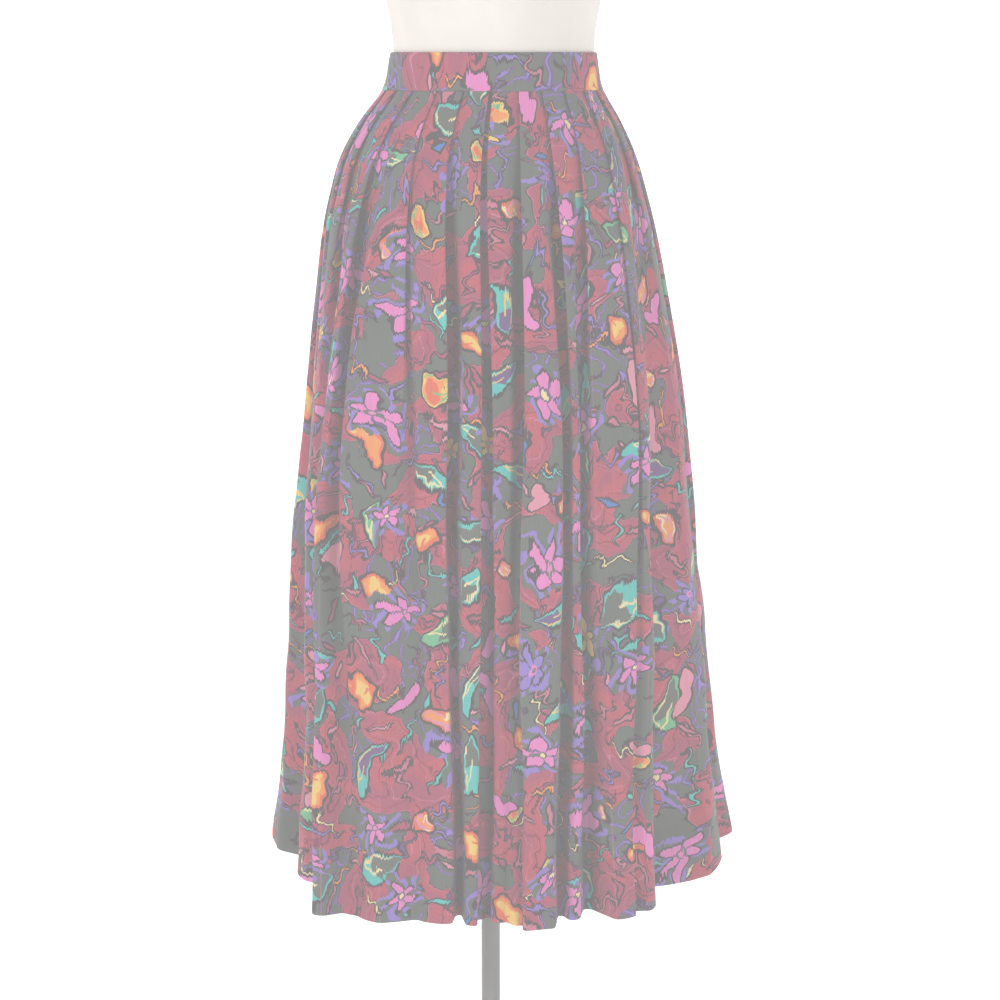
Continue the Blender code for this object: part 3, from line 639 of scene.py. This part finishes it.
def sprigs(colour, place, lattice):
    """Curled sprigs, |y + a sin b x| < w (1 - (x / l)^2), or short dashes in dark ovals."""
    own, size, lot = scattered(place, *lattice)
    x, y = own.part(0), own.part(1)
    ends = 1.0 - (x * 56.0) ** 2.0
    curl = abs(y + (x * 330.0).math("SINE") * 0.0040) - ends * CURL_WIDTH
    dash = abs(y) - (1.0 - (x * 95.0) ** 2.0) * size * DASH_WIDTH
    past = (lot < 0.6).pick(dash, curl)
    tone = lot.choice((0.0, STRAW), (0.05, LAVENDER), (0.17, CORAL), (0.24, ROSE), (0.38, RIM),
                      (0.50, TEAL), (0.56, MAUVE), (0.62, RIM), (0.76, ROSE), (0.86, SKY), (0.90, TEAL),
                      (0.94, BLUSH))
    return colour.laid(past < SPRIG_INK, INK).laid(past < 0.0, tone)


def painted_print(surface):
    """Flowers, leaves, buds and sprigs in flat brush colours on charcoal, between rose pools and lavender
    curls. All edges are drawn by a wandering hand and break into short upright teeth."""
    wander = surface.noise(13.0, 1.0, 1)
    fine = surface.noise(85.0, 0.0, 1)
    teeth = surface.node("ShaderNodeTexNoise", {"noise_dimensions": "1D"},
                         {"W": surface.part(0), "Scale": 620.0, "Detail": 0.0})
    u, v = (surface.part(k) + (wander.part(k) - 0.5) * WANDER[k] + (fine.part(k) - 0.5) * FINE_WANDER
            for k in (0, 1))
    place = u.joined(v + (teeth - 0.5) * TEETH)

    pools = place.noise(18.0, 0.5)
    tint = place.noise(31.0)
    ground = tint.blend(0.38, ROSE, 0.64, BRICK).laid((tint * 7.0).math("PINGPONG", 0.5) < 0.018, WINE)
    curls = (place.noise(24.0, 0.5) * 6.0).math("PINGPONG", 0.5)
    night = curls.choice((0.0, LAVENDER), (0.053, INK), (0.072, MAUVE), (0.15, CHARCOAL))
    colour = night.laid(place.noise(11.0) < 0.47, CHARCOAL)
    colour = colour.laid(pools > POOL_EDGE, INK).laid(pools > POOL_EDGE + 0.010, RIM)
    colour = colour.laid(pools > POOL_EDGE + 0.018, ground)
    colour = colour.laid(abs(pools - 0.61) < 0.006, WINE)
    colour = colour.laid(abs(pools - 0.66) < 0.004, RIM)
    for lattice in SPRIG_LATTICES:
        colour = sprigs(colour, place, lattice)
    return blossoms(leaves(colour, place), place)


def stitch_row(surface, at, pitch, filled):
    """1 on each stitch of a row run along the cloth at one distance down it: a share of every pitch."""
    on_row = abs(surface.part(1) - at) < STITCH_HALF
    return on_row * ((surface.part(0) * (1.0 / pitch)).math("FRACT") < filled)


def printed_crepe(name, hem_start, stitched):
    """Soft crepe: the print, with shade painted in deep in the folds, a pale line on the pressed fold
    crests that is painted highlight and wear, a darker doubled hem, a row of stitches and a fine pebbled
    weave.
    A grey painted glow is taken off the colour and given back as emission, so that even the deep folds keep
    it."""
    made, surface = new_material(name, "ShaderNodeUVMap", "UV")
    mottle = surface.noise(7.0, 1.0)
    streaks = surface.vector("MULTIPLY", (420.0, 30.0, 1.0)).noise(1.0)
    # Pale line in patches along the fold crests: painted highlight where the crease catches light, and
    # wear.
    worn = surface.mark("fold_edge").step(0.6, 1.0) * mottle.step(0.40, 0.62)
    colour = painted_print(surface).laid(worn * CREST_HIGHLIGHT_AND_WEAR, BLUSH)
    doubled = surface.part(1).step(hem_start - 0.001, hem_start + 0.001)
    # Painted shade: the colour darkens deep in the folds, by how far the folds close the cloth off.
    closed = surface.mark("shelter").step(0.30, 0.80)
    stitches = stitch_row(surface, *stitched)
    shade = 1.0 - doubled * HEM_SHADE + (mottle - 0.5) * 0.16 + (streaks - 0.5) * 0.14
    shade = shade * (1.0 - closed * FOLD_SHADE) * (1.0 - stitches * STITCH_SHADE)
    # The painted glow's grey is taken off the lit colour here and given back below as emission.
    base = colour.vector("SUBTRACT", PAINTED_GLOW).vector("MULTIPLY", shade.joined(shade, shade))
    relief = surface.noise(1100.0, 1.0) - stitches * 1.5
    return set_shader(made, {
        "Base Color": base.vector("MAXIMUM", DARKEST), "Normal": relief.bump(0.3, 0.0004),
        "Roughness": 0.78, "Specular IOR Level": 0.2, "Sheen Weight": 0.08, "Sheen Roughness": 0.5,
        "Emission Color": (*PAINTED_GLOW, 1.0), "Emission Strength": 1.0})


# The middle line of every row, and the cloth's own lengths down the skirt and round the folds, evened out
# between the crests so that the print runs straight down each face.
middle_line, sections = skirt_rows()
middle_line = drape(middle_line)
world = np.stack([section.to_world(*row.T) for section, row in zip(sections, middle_line)])
steps = np.linalg.norm(np.diff(world, axis=1), axis=2)
measured = np.concatenate([np.zeros((len(world), 1)), np.cumsum(steps, axis=1)], axis=1)
column_count = measured.shape[1]
crests = BACK_BOX_STEPS + np.arange(len(LEFT_PLEATS)) * PLEAT_STEPS + FOLD_STEPS // 2
crests = np.concatenate([[0], crests, (column_count - 1 - crests)[::-1], [column_count - 1]])
laid_out = measured[:, crests].mean(axis=0)
cloth_u = np.stack([np.interp(row, row[crests], laid_out) for row in measured])
down = np.linalg.norm(np.diff(world, axis=0), axis=2).mean(axis=1)
cloth_v = np.concatenate([[0.0], np.cumsum(down)])
hem_start = cloth_v[-1] - HEM_DEPTH

near = np.abs(np.arange(column_count)[:, None] - crests[None, 1:-1]).min(axis=1)
fold_edge = np.clip(1.0 - near / CREST_COLUMNS, 0.0, 1.0) * np.ones((len(ROW_DROPS), 1))
half = CLOTH / 2.0 + HEM_EXTRA * np.clip((ROW_DROPS - HEM_TOP) / HEM_STEP, 0.0, 1.0)
half *= np.interp(ROW_DROPS, (BAND_WIDTH, BAND_WIDTH + TOP_ROUND, HEM_DROP - HEM_ROUND, HEM_DROP),
                  (TOP_THIN, 1.0, 1.0, HEM_THIN))
marks = np.stack([cloth_u, fold_edge, shelter(middle_line)], axis=-1)
whole = np.concatenate([middle_line, marks], axis=-1)

crepe = printed_crepe("printed crepe", hem_start, (hem_start + HEM_STITCH[0], *HEM_STITCH[1:]))
left_cut = BACK_BOX_STEPS + SIDE_COLUMN
right_cut = column_count - 2 - left_cut
PANELS = (
    # name, first column, last column, shift of the print
    ("skirt_back_left", 0, left_cut, 0.11),
    ("skirt_front", left_cut + 1, right_cut, 0.0),
    ("skirt_back_right", right_cut + 1, column_count - 1, 0.23),
)
for name, first, last, shift in PANELS:
    panel_sheet = whole[:, first:last + 1]
    for own, beyond, last_side in ((first, first - 1, False), (last, last + 1, True)):
        if 0 <= beyond < column_count:
            a, b = whole[:, own], whole[:, beyond]
            share = 0.5 - SEAM_GAP / 2.0 / np.linalg.norm((b - a)[:, :2], axis=1)
            end = a + (b - a) * share[:, None]
            panel_sheet = np.insert(panel_sheet, panel_sheet.shape[1] if last_side else 0, end, axis=1)
    thick = half[:, None] * np.ones(panel_sheet.shape[1])
    thick[:, [0, -1]] *= SIDE_THIN
    outer, inner = two_skins(panel_sheet[..., :2], sections, thick)
    panel_u = panel_sheet[..., 2]
    cloth_uv = np.stack([panel_u + shift, cloth_v[:, None] + 0.0 * panel_u], axis=-1)
    panel = closed_sheet(name + "_cloth", outer, inner, cloth_uv,
                         {"fold_edge": panel_sheet[..., 3], "shelter": panel_sheet[..., 4]})
    panel.data.materials.append(crepe)
    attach(panel, "root")
    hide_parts(name)


# ------------ waistband
# One straight strip of the same crepe over a stiff lining, folded double and stitched to the top of the
# skirt. Its right end lies on its left end at the centre back, where a button closes it.
BAND_CLOTH = 0.0026
BAND_LAP = 0.036
LAP_RISE = 0.024
LAP_CLEAR = 0.003
BAND_STATIONS = 320
BAND_PRINT = (0.050, 0.450)  # where in the print the strip is cut from
BAND_MIDDLE = 0.0015  # how far the strip's middle lies inside the outline
LAP_STEP = 0.0030
BAND_FLAT = 0.9  # rows of the profile that are thinner belong to its rounded edges
BAND_RIPPLE, BAND_SWAY = ((0.00025, 230.0, 3.0, 0.0),), ((0.0002, 61.0, 0.0, 0.0),)
BAND_STITCH = (0.0018, 0.0028, 0.75)  # above the lower edge, pitch, share of it that shows
NO_HEM = 9.0  # a hem's place that is beyond the strip
BAND_PROFILE = np.array([
    # share of the height, share of the thickness from the middle
    (0.000, 0.00), (0.004, 0.55), (0.018, 0.90), (0.045, 1.00), (0.09, 1.02), (0.20, 1.05), (0.35, 1.08),
    (0.50, 1.10), (0.65, 1.08), (0.80, 1.05), (0.91, 1.02), (0.955, 1.00), (0.982, 0.90), (0.996, 0.55),
    (1.000, 0.00),
])


def lap_offset(section, along):
    """How far the outer end of the waistband stands out where it lies on the inner end: a smooth rise."""
    start = section.girth / 2.0 - BAND_LAP / 2.0 - LAP_RISE - LAP_CLEAR
    return (LAP_STEP + SEAM_GAP) * ease((along - start) / LAP_RISE)


def waistband_skins():
    """Outer and inner skin of the strip: its profile carried round the waist, with one wave that grows with
    the square of the depth and one even wave, which both leave the rounded edges alone."""
    outer, inner, lengths = [], [], []
    for share, thick in BAND_PROFILE:
        section = Section(BAND_WIDTH * share)
        reach = (section.girth + BAND_LAP) / 2.0
        along = np.linspace(-reach, reach, BAND_STATIONS + 1)
        ripple = waves(BAND_RIPPLE, along, share) * share**2 + waves(BAND_SWAY, along, share)
        middle = lap_offset(section, along) - BAND_MIDDLE + ripple * (thick > BAND_FLAT)
        outer.append(section.to_world(along, middle + thick * BAND_CLOTH / 2.0))
        inner.append(section.to_world(along, middle - min(thick, 1.0) * BAND_CLOTH / 2.0))
        lengths.append(along)
    return np.array(outer), np.array(inner), np.array(lengths)


outer, inner, lengths = waistband_skins()
heights = np.linspace(0.0, BAND_WIDTH, len(outer))[:, None] + 0.0 * lengths
band_uv = np.stack([lengths + BAND_PRINT[0], BAND_PRINT[1] + heights], axis=-1)
flush = np.zeros(lengths.shape)
band = closed_sheet("waistband_cloth", outer, inner, band_uv, {"fold_edge": flush, "shelter": flush})
band.data.materials.append(printed_crepe("waistband crepe", NO_HEM, (
    BAND_PRINT[1] + BAND_WIDTH - BAND_STITCH[0], *BAND_STITCH[1:])))
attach(band, "root")
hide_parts("waistband")


# ------------ waistband button
# A moulded four-hole button, sewn on over the lap at the centre back with doubled thread. The thread
# shows as two short bars across the button's dished front.
BUTTON_THICKNESS = 0.0032
BUTTON_DISH = 0.0009
HOLE_PLACE = 0.00156  # each hole's distance from the button's middle, across and upwards
THREAD_RADIUS = 0.00042
THREAD_DIVE = 0.0016
THREAD_STATIONS, THREAD_SIDES = 41, 16
CAP_RINGS = 7


def ring_surface(name, rings):
    """A closed surface through rings of points stacked upwards, each end closed with a disc of rings."""
    sides = rings.shape[1]
    closing = np.linspace(1.0, 0.0, CAP_RINGS + 2)[1:-1, None, None]
    foot, head = rings[0].mean(axis=0), rings[-1].mean(axis=0)
    stack = np.concatenate([(foot + (rings[0] - foot) * closing)[::-1], rings,
                            head + (rings[-1] - head) * closing])
    index = np.arange(len(stack) * sides).reshape(len(stack), sides)
    a, b = index[:-1], index[1:]
    quads = np.stack([a, np.roll(a, -1, axis=1), np.roll(b, -1, axis=1), b], axis=-1).reshape(-1, 4)
    points = np.concatenate([stack.reshape(-1, 3), [foot, head]])
    low, high = index[0], index[-1]
    caps = np.concatenate([np.stack([np.roll(low, -1), low, np.full(sides, len(points) - 2)], axis=-1),
                           np.stack([high, np.roll(high, -1), np.full(sides, len(points) - 1)], axis=-1)])
    return new_piece(name, points, quads.tolist() + caps.tolist(), 40.0)


def thread_rings(seat, lean, below):
    """Rings of a thread that runs level from hole to hole and dives into both: its height above the dish is
    the thread's radius less a depth times the eighth power of its place, which runs from -1 to 1."""
    place = np.linspace(-1.0, 1.0, THREAD_STATIONS)
    height = BUTTON_THICKNESS - BUTTON_DISH + THREAD_RADIUS - THREAD_DIVE * place**8
    middle = np.stack([HOLE_PLACE * place, np.full_like(place, below), height], axis=1)
    run = unit(np.gradient(middle, axis=0))
    top = np.stack([-run[:, 2], 0.0 * place, run[:, 0]], axis=1)[:, None]
    side = np.cross(run[:, None], top)
    turn = np.linspace(0.0, 2.0 * math.pi, THREAD_SIDES, endpoint=False)[:, None]
    rings = middle[:, None] + THREAD_RADIUS * (np.cos(turn) * top + np.sin(turn) * side)
    rise, stand = math.sin(lean), math.cos(lean)
    return seat + rings @ np.array([(1.0, 0.0, 0.0), (0.0, rise, -stand), (0.0, stand, rise)])


def thread_material():
    """Mercerised sewing thread: dark rose with the fine slanting lines of its twist."""
    made, place = new_material("sewing thread")
    twist = ((place.part(0) + place.part(2) * 0.6) * 16000.0).math("SINE")
    tone = twist.blend(0.0, linear(120, 82, 92), 1.0, linear(160, 118, 128))
    return set_shader(made, {"Base Color": tone, "Roughness": 0.55, "Sheen Weight": 0.2})


def button_material():
    """Horn-like resin: warm grey with soft streaks, polished and lightly coated all over."""
    made, place = new_material("button resin")
    streaks = place.vector("MULTIPLY", (1.0, 5.0, 1.0)).grain(400.0, 2.0)
    tone = streaks.blend(0.3, linear(150, 128, 126), 0.7, linear(186, 168, 160))
    return set_shader(made, {"Base Color": tone, "Roughness": 0.28, "Coat Weight": 0.3})


button = bpy.data.objects["waistband_button"]
button.data = button.data.copy()
button.data.materials.clear()
button.data.materials.append(button_material())

low, high = (np.array(corner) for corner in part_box("waistband_button"))
lean = math.atan2(OUTLINE[1, 2] - OUTLINE[0, 2], BAND_WIDTH)
seat = (low + high) / 2.0 - BUTTON_THICKNESS / 2.0 * np.array([0.0, math.cos(lean), math.sin(lean)])
twisted = thread_material()
for name, below in (("button_thread_low", HOLE_PLACE), ("button_thread_high", -HOLE_PLACE)):
    thread = ring_surface(name, thread_rings(seat, lean, below))
    thread.data.materials.append(twisted)
    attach(thread, "root")


# ------------ dress form
# A limbless torso in layers of papier-mache under a close cover of off-white cotton knit, with a seam down
# the centre back and down each side. Its lower end is covered too, and sits on a collar.
FORM_RINGS, FORM_SIDES = 240, 160
FORM_MIDDLE = 0.0037  # x of the back seam
SEAM_HALF, SEAM_DIP = 0.0007, 0.0030
# Outline of the torso, in millimetres, with the height above the waistband's upper edge
FORM = np.array([
    # height, half width, half depth, shift, forward
    (-300, 140.0, 113.0,  0.0,  0),
    (-292, 152.0, 124.0,  0.0,  0),
    (-260, 164.0, 135.0, -0.5,  0),
    (-210, 166.0, 137.0, -1.5,  0),
    (-163, 163.0, 134.0, -2.0,  0),
    (-107, 149.0, 123.5, -1.8,  0),
    ( -74, 133.0, 114.0,  0.5,  0),
    ( -44, 116.0, 104.6,  2.9,  0),
    ( -20, 111.0, 100.8,  3.6,  0),
    (   0, 110.8, 100.5,  4.0,  0),
    (  30, 113.5, 101.0,  3.8,  2),
    (  80, 124.0, 105.0,  3.6,  6),
    ( 140, 138.0, 112.0,  3.5, 14),
    ( 190, 146.0, 116.0,  3.5, 18),
    ( 240, 150.0, 112.0,  3.5, 14),
    ( 290, 157.0, 103.0,  3.5,  6),
    ( 325, 165.0,  92.0,  3.5,  0),
    ( 350, 162.0,  82.0,  3.5, -4),
    ( 368, 142.0,  74.0,  3.5, -6),
    ( 384, 113.0,  67.0,  3.5, -6),
    ( 400,  84.0,  61.0,  3.5, -5),
    ( 416,  65.0,  57.0,  3.5, -3),
    ( 440,  56.0,  55.0,  3.5, -1),
    ( 484,  55.0,  55.0,  3.5,  0),
    ( 490,  52.0,  52.0,  3.5,  0),
]) / 1000.0


def form_rings():
    """Ellipses, one at each height, whose half axes and centre follow the form's table."""
    heights = np.linspace(FORM[0, 0], FORM[-1, 0], FORM_RINGS)
    sizes = smooth_table(FORM, heights)
    turn = np.linspace(0.0, 2.0 * math.pi, FORM_SIDES, endpoint=False)
    wide, deep, shift, forward = sizes.T[..., None]
    return np.stack([shift + wide * np.cos(turn), -forward + deep * np.sin(turn),
                     (WAIST_HEIGHT + heights)[:, None] + 0.0 * turn], axis=-1)


def form_cover_material():
    """Off-white cotton knit: fine ribs of loops, seams down the back and sides, a soft nap, a faint painted
    glow.
    """
    made, place = new_material("cotton knit cover")
    tone = place.grain(14.0, 3.0).blend(0.3, linear(216, 211, 204), 0.7, linear(223, 219, 212))
    off_back = abs(place.part(0) - FORM_MIDDLE) + (place.part(1) < 0.0)
    beside = off_back.math("MINIMUM", abs(place.part(1)))
    tone = tone.laid((beside < SEAM_HALF) * 0.5, linear(196, 190, 182))
    knit = place.grain(1500.0, 1.0) * 0.4 + beside.step(0.0, SEAM_DIP)
    return set_shader(made, {
        "Base Color": tone, "Normal": knit.bump(0.3, 0.0006), "Roughness": 0.9, "Sheen Weight": 0.15,
        # Painted glow: the cover gives off a faint off-white light of its own, no lamp, which lifts its
        # shaded sides.
        "Emission Color": linear(250, 247, 242), "Emission Strength": 0.12})


torso = ring_surface("form_cover", form_rings())
torso.data.materials.append(form_cover_material())
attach(torso, "root")
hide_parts("form_torso")


# ------------ stand
# A round pole stands in the socket of a flat round foot, and a turned collar on it carries the torso. All
# three are steel in grey enamel.
POLE_RADIUS = 0.011
COLLAR_RADIUS = 0.028
COLLAR_HEIGHT = 0.034
BASE_RADIUS = 0.190
BASE_HEIGHT = 0.014
SOCKET_RADIUS = 0.022
HUB_TOP = BASE_HEIGHT + 0.040
TURNED_SIDES = 128
POLE_STATIONS = 24
BASE_PROFILE = np.array([
    (BASE_RADIUS - 0.0020, 0.0), (BASE_RADIUS - 0.0008, 0.0004), (BASE_RADIUS, 0.002),
    (BASE_RADIUS, 0.005), (BASE_RADIUS - 0.0008, 0.0072), (BASE_RADIUS - 0.0030, 0.0090),
    (BASE_RADIUS - 0.0070, 0.0099), (0.150, 0.0110), (0.100, 0.0125), (0.060, 0.0134),
    (0.040, BASE_HEIGHT), (0.030, 0.0154), (SOCKET_RADIUS + 0.003, 0.0180),
    (SOCKET_RADIUS + 0.0008, 0.0210), (SOCKET_RADIUS, 0.0240), (SOCKET_RADIUS, HUB_TOP - 0.0030),
    (SOCKET_RADIUS - 0.0009, HUB_TOP - 0.0009), (SOCKET_RADIUS - 0.0030, HUB_TOP),
])
COLLAR_PROFILE = np.array([
    (0.0140, 0.0), (0.0154, 0.0006), (0.0160, 0.002), (0.0160, COLLAR_HEIGHT - 0.0110),
    (0.0168, COLLAR_HEIGHT - 0.0082), (0.0190, COLLAR_HEIGHT - 0.0062), (0.0272, COLLAR_HEIGHT - 0.0050),
    (COLLAR_RADIUS, COLLAR_HEIGHT - 0.0040), (COLLAR_RADIUS, COLLAR_HEIGHT),
])


def enamel_material():
    """Grey enamel on steel: an even coat with faint orange peel and a few rubbed, duller patches."""
    made, place = new_material("grey enamel")
    mottle = place.grain(9.0, 3.0)
    rough = mottle.node("ShaderNodeMapRange", {}, {0: mottle, 3: 0.34, 4: 0.5})
    tone = mottle.blend(0.3, linear(171, 171, 170), 0.7, linear(181, 181, 180))
    peel = place.grain(600.0).bump(0.1, 0.0002)
    return set_shader(made, {"Base Color": tone, "Roughness": rough, "Normal": peel})


def turned_rings(profile, foot):
    """Rings of a profile of (radius, height above its foot) turned about the upright axis."""
    turn = np.linspace(0.0, 2.0 * math.pi, TURNED_SIDES, endpoint=False)
    radius, height = profile[:, :1], profile[:, 1:] + foot
    return np.stack([radius * np.cos(turn), radius * np.sin(turn), height + 0.0 * turn], axis=-1)


enamel = enamel_material()
torso_bottom = WAIST_HEIGHT + FORM[0, 0] - SEAM_GAP
collar_bottom = torso_bottom - COLLAR_HEIGHT
pole_heights = np.linspace(HUB_TOP + SEAM_GAP, collar_bottom - SEAM_GAP, POLE_STATIONS)
pole_profile = np.stack([np.full(POLE_STATIONS, POLE_RADIUS), pole_heights], axis=1)
for name, node, profile, foot in (
        ("stand_foot", "stand_base", BASE_PROFILE, 0.0),
        ("stand_tube", "stand_pole", pole_profile, 0.0),
        ("stand_cap", "stand_collar", COLLAR_PROFILE, collar_bottom)):
    piece = ring_surface(name, turned_rings(profile, foot))
    piece.data.materials.append(enamel)
    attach(piece, "root")
    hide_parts(node)


# ------------ floor and backdrop
# A sheet of white paper lies on the floor and sweeps up into a wall well behind the stand. It glows a
# little, and more so far from the stand, so that it shows as plain white.
FLOOR_REACH, WALL_PLACE, WALL_CURVE, WALL_STATIONS = 16.0, 8.0, 2.0, 33
NEAR_GLOW, FAR_GLOW = (0.42, 0.42, 0.42, 1.0), (0.80, 0.80, 0.80, 1.0)
GLOW_START, GLOW_RISE = 2.2, 0.30
PAPER = ((0.89, 0.89, 0.89, 1.0), (0.91, 0.91, 0.91, 1.0))


def backdrop():
    """Floor that curves up into a wall: one profile drawn sideways."""
    turn = np.linspace(0.0, math.pi / 2.0, WALL_STATIONS)
    bend = np.stack([np.sin(turn) - 1.0, 1.0 - np.cos(turn)], axis=1) * WALL_CURVE + (WALL_PLACE, 0.0)
    side = np.concatenate([[(-FLOOR_REACH, 0.0)], bend, [(WALL_PLACE, FLOOR_REACH)]])
    count = len(side)
    edges = [np.column_stack([np.full(count, x), side]) for x in (-FLOOR_REACH, FLOOR_REACH)]
    faces = [(k, k + count, k + count + 1, k + 1) for k in range(count - 1)]
    return new_piece("backdrop", np.concatenate(edges), faces)


def paper_material():
    """Matt white paper with a trace of grain."""
    made, place = new_material("white paper")
    tone = place.grain(3.0, 3.0).blend(0.3, PAPER[0], 0.7, PAPER[1])
    glow = ((place.vector("LENGTH", out=1) - GLOW_START) * GLOW_RISE).blend(0.0, NEAR_GLOW, 1.0, FAR_GLOW)
    return set_shader(made, {
        "Base Color": tone, "Emission Color": glow, "Emission Strength": 1.0, "Roughness": 0.95})


floor = backdrop()
floor.data.materials.append(paper_material())


# ------------ light and camera
# Two broad lamps from the sides and one from above, in a white room that looks brighter than the light it
# gives. The camera is level with the waist and looks down 11 degrees.
ROOM_LIGHT, ROOM_EXTRA = 0.30, 0.50  # its strength as a light, and what the camera sees beyond that
CAMERA_PLACE, CAMERA_PITCH, CAMERA_LENS = (0.011, -2.594, 1.23), 78.98, 82.8
scene = bpy.context.scene
room = bpy.data.worlds.new("white room")
room.use_nodes = True
walls = room.node_tree.nodes["Background"]
seen = Wire(room.node_tree.nodes.new("ShaderNodeLightPath").outputs["Is Camera Ray"])
room.node_tree.links.new((seen * ROOM_EXTRA + ROOM_LIGHT).socket, walls.inputs["Strength"])
walls.inputs["Color"].default_value = (1.0, 1.0, 1.0, 1.0)
scene.world = room
scene.view_settings.view_transform = "Standard"

LAMPS = (
    # name, x, y, z, width, height, power, pitch and turn in degrees
    ("key", -3.0, -2.6, 2.8, 1.8, 1.8, 73.0, 66.0, -49.0),
    ("fill", 3.1, -2.7, 2.0, 2.0, 2.0, 46.0, 76.0, 49.0),
    ("top", 0.0, 0.6, 4.2, 3.0, 3.0, 16.0, 0.0, 0.0),
)
for name, x, y, z, width, height, power, pitch, turn in LAMPS:
    light = bpy.data.lights.new(name, "AREA")
    light.shape = "RECTANGLE"
    light.size, light.size_y, light.energy = width, height, power
    lamp = bpy.data.objects.new(name, light)
    lamp.location = (x, y, z)
    lamp.rotation_euler = (math.radians(pitch), 0.0, math.radians(turn))
    bpy.context.collection.objects.link(lamp)

lens = bpy.data.cameras.new("camera")
lens.sensor_width = 36.0
lens.lens = CAMERA_LENS
camera = bpy.data.objects.new("camera", lens)
camera.location = CAMERA_PLACE
camera.rotation_euler = (math.radians(CAMERA_PITCH), 0.0, 0.0)
bpy.context.collection.objects.link(camera)
scene.camera = camera
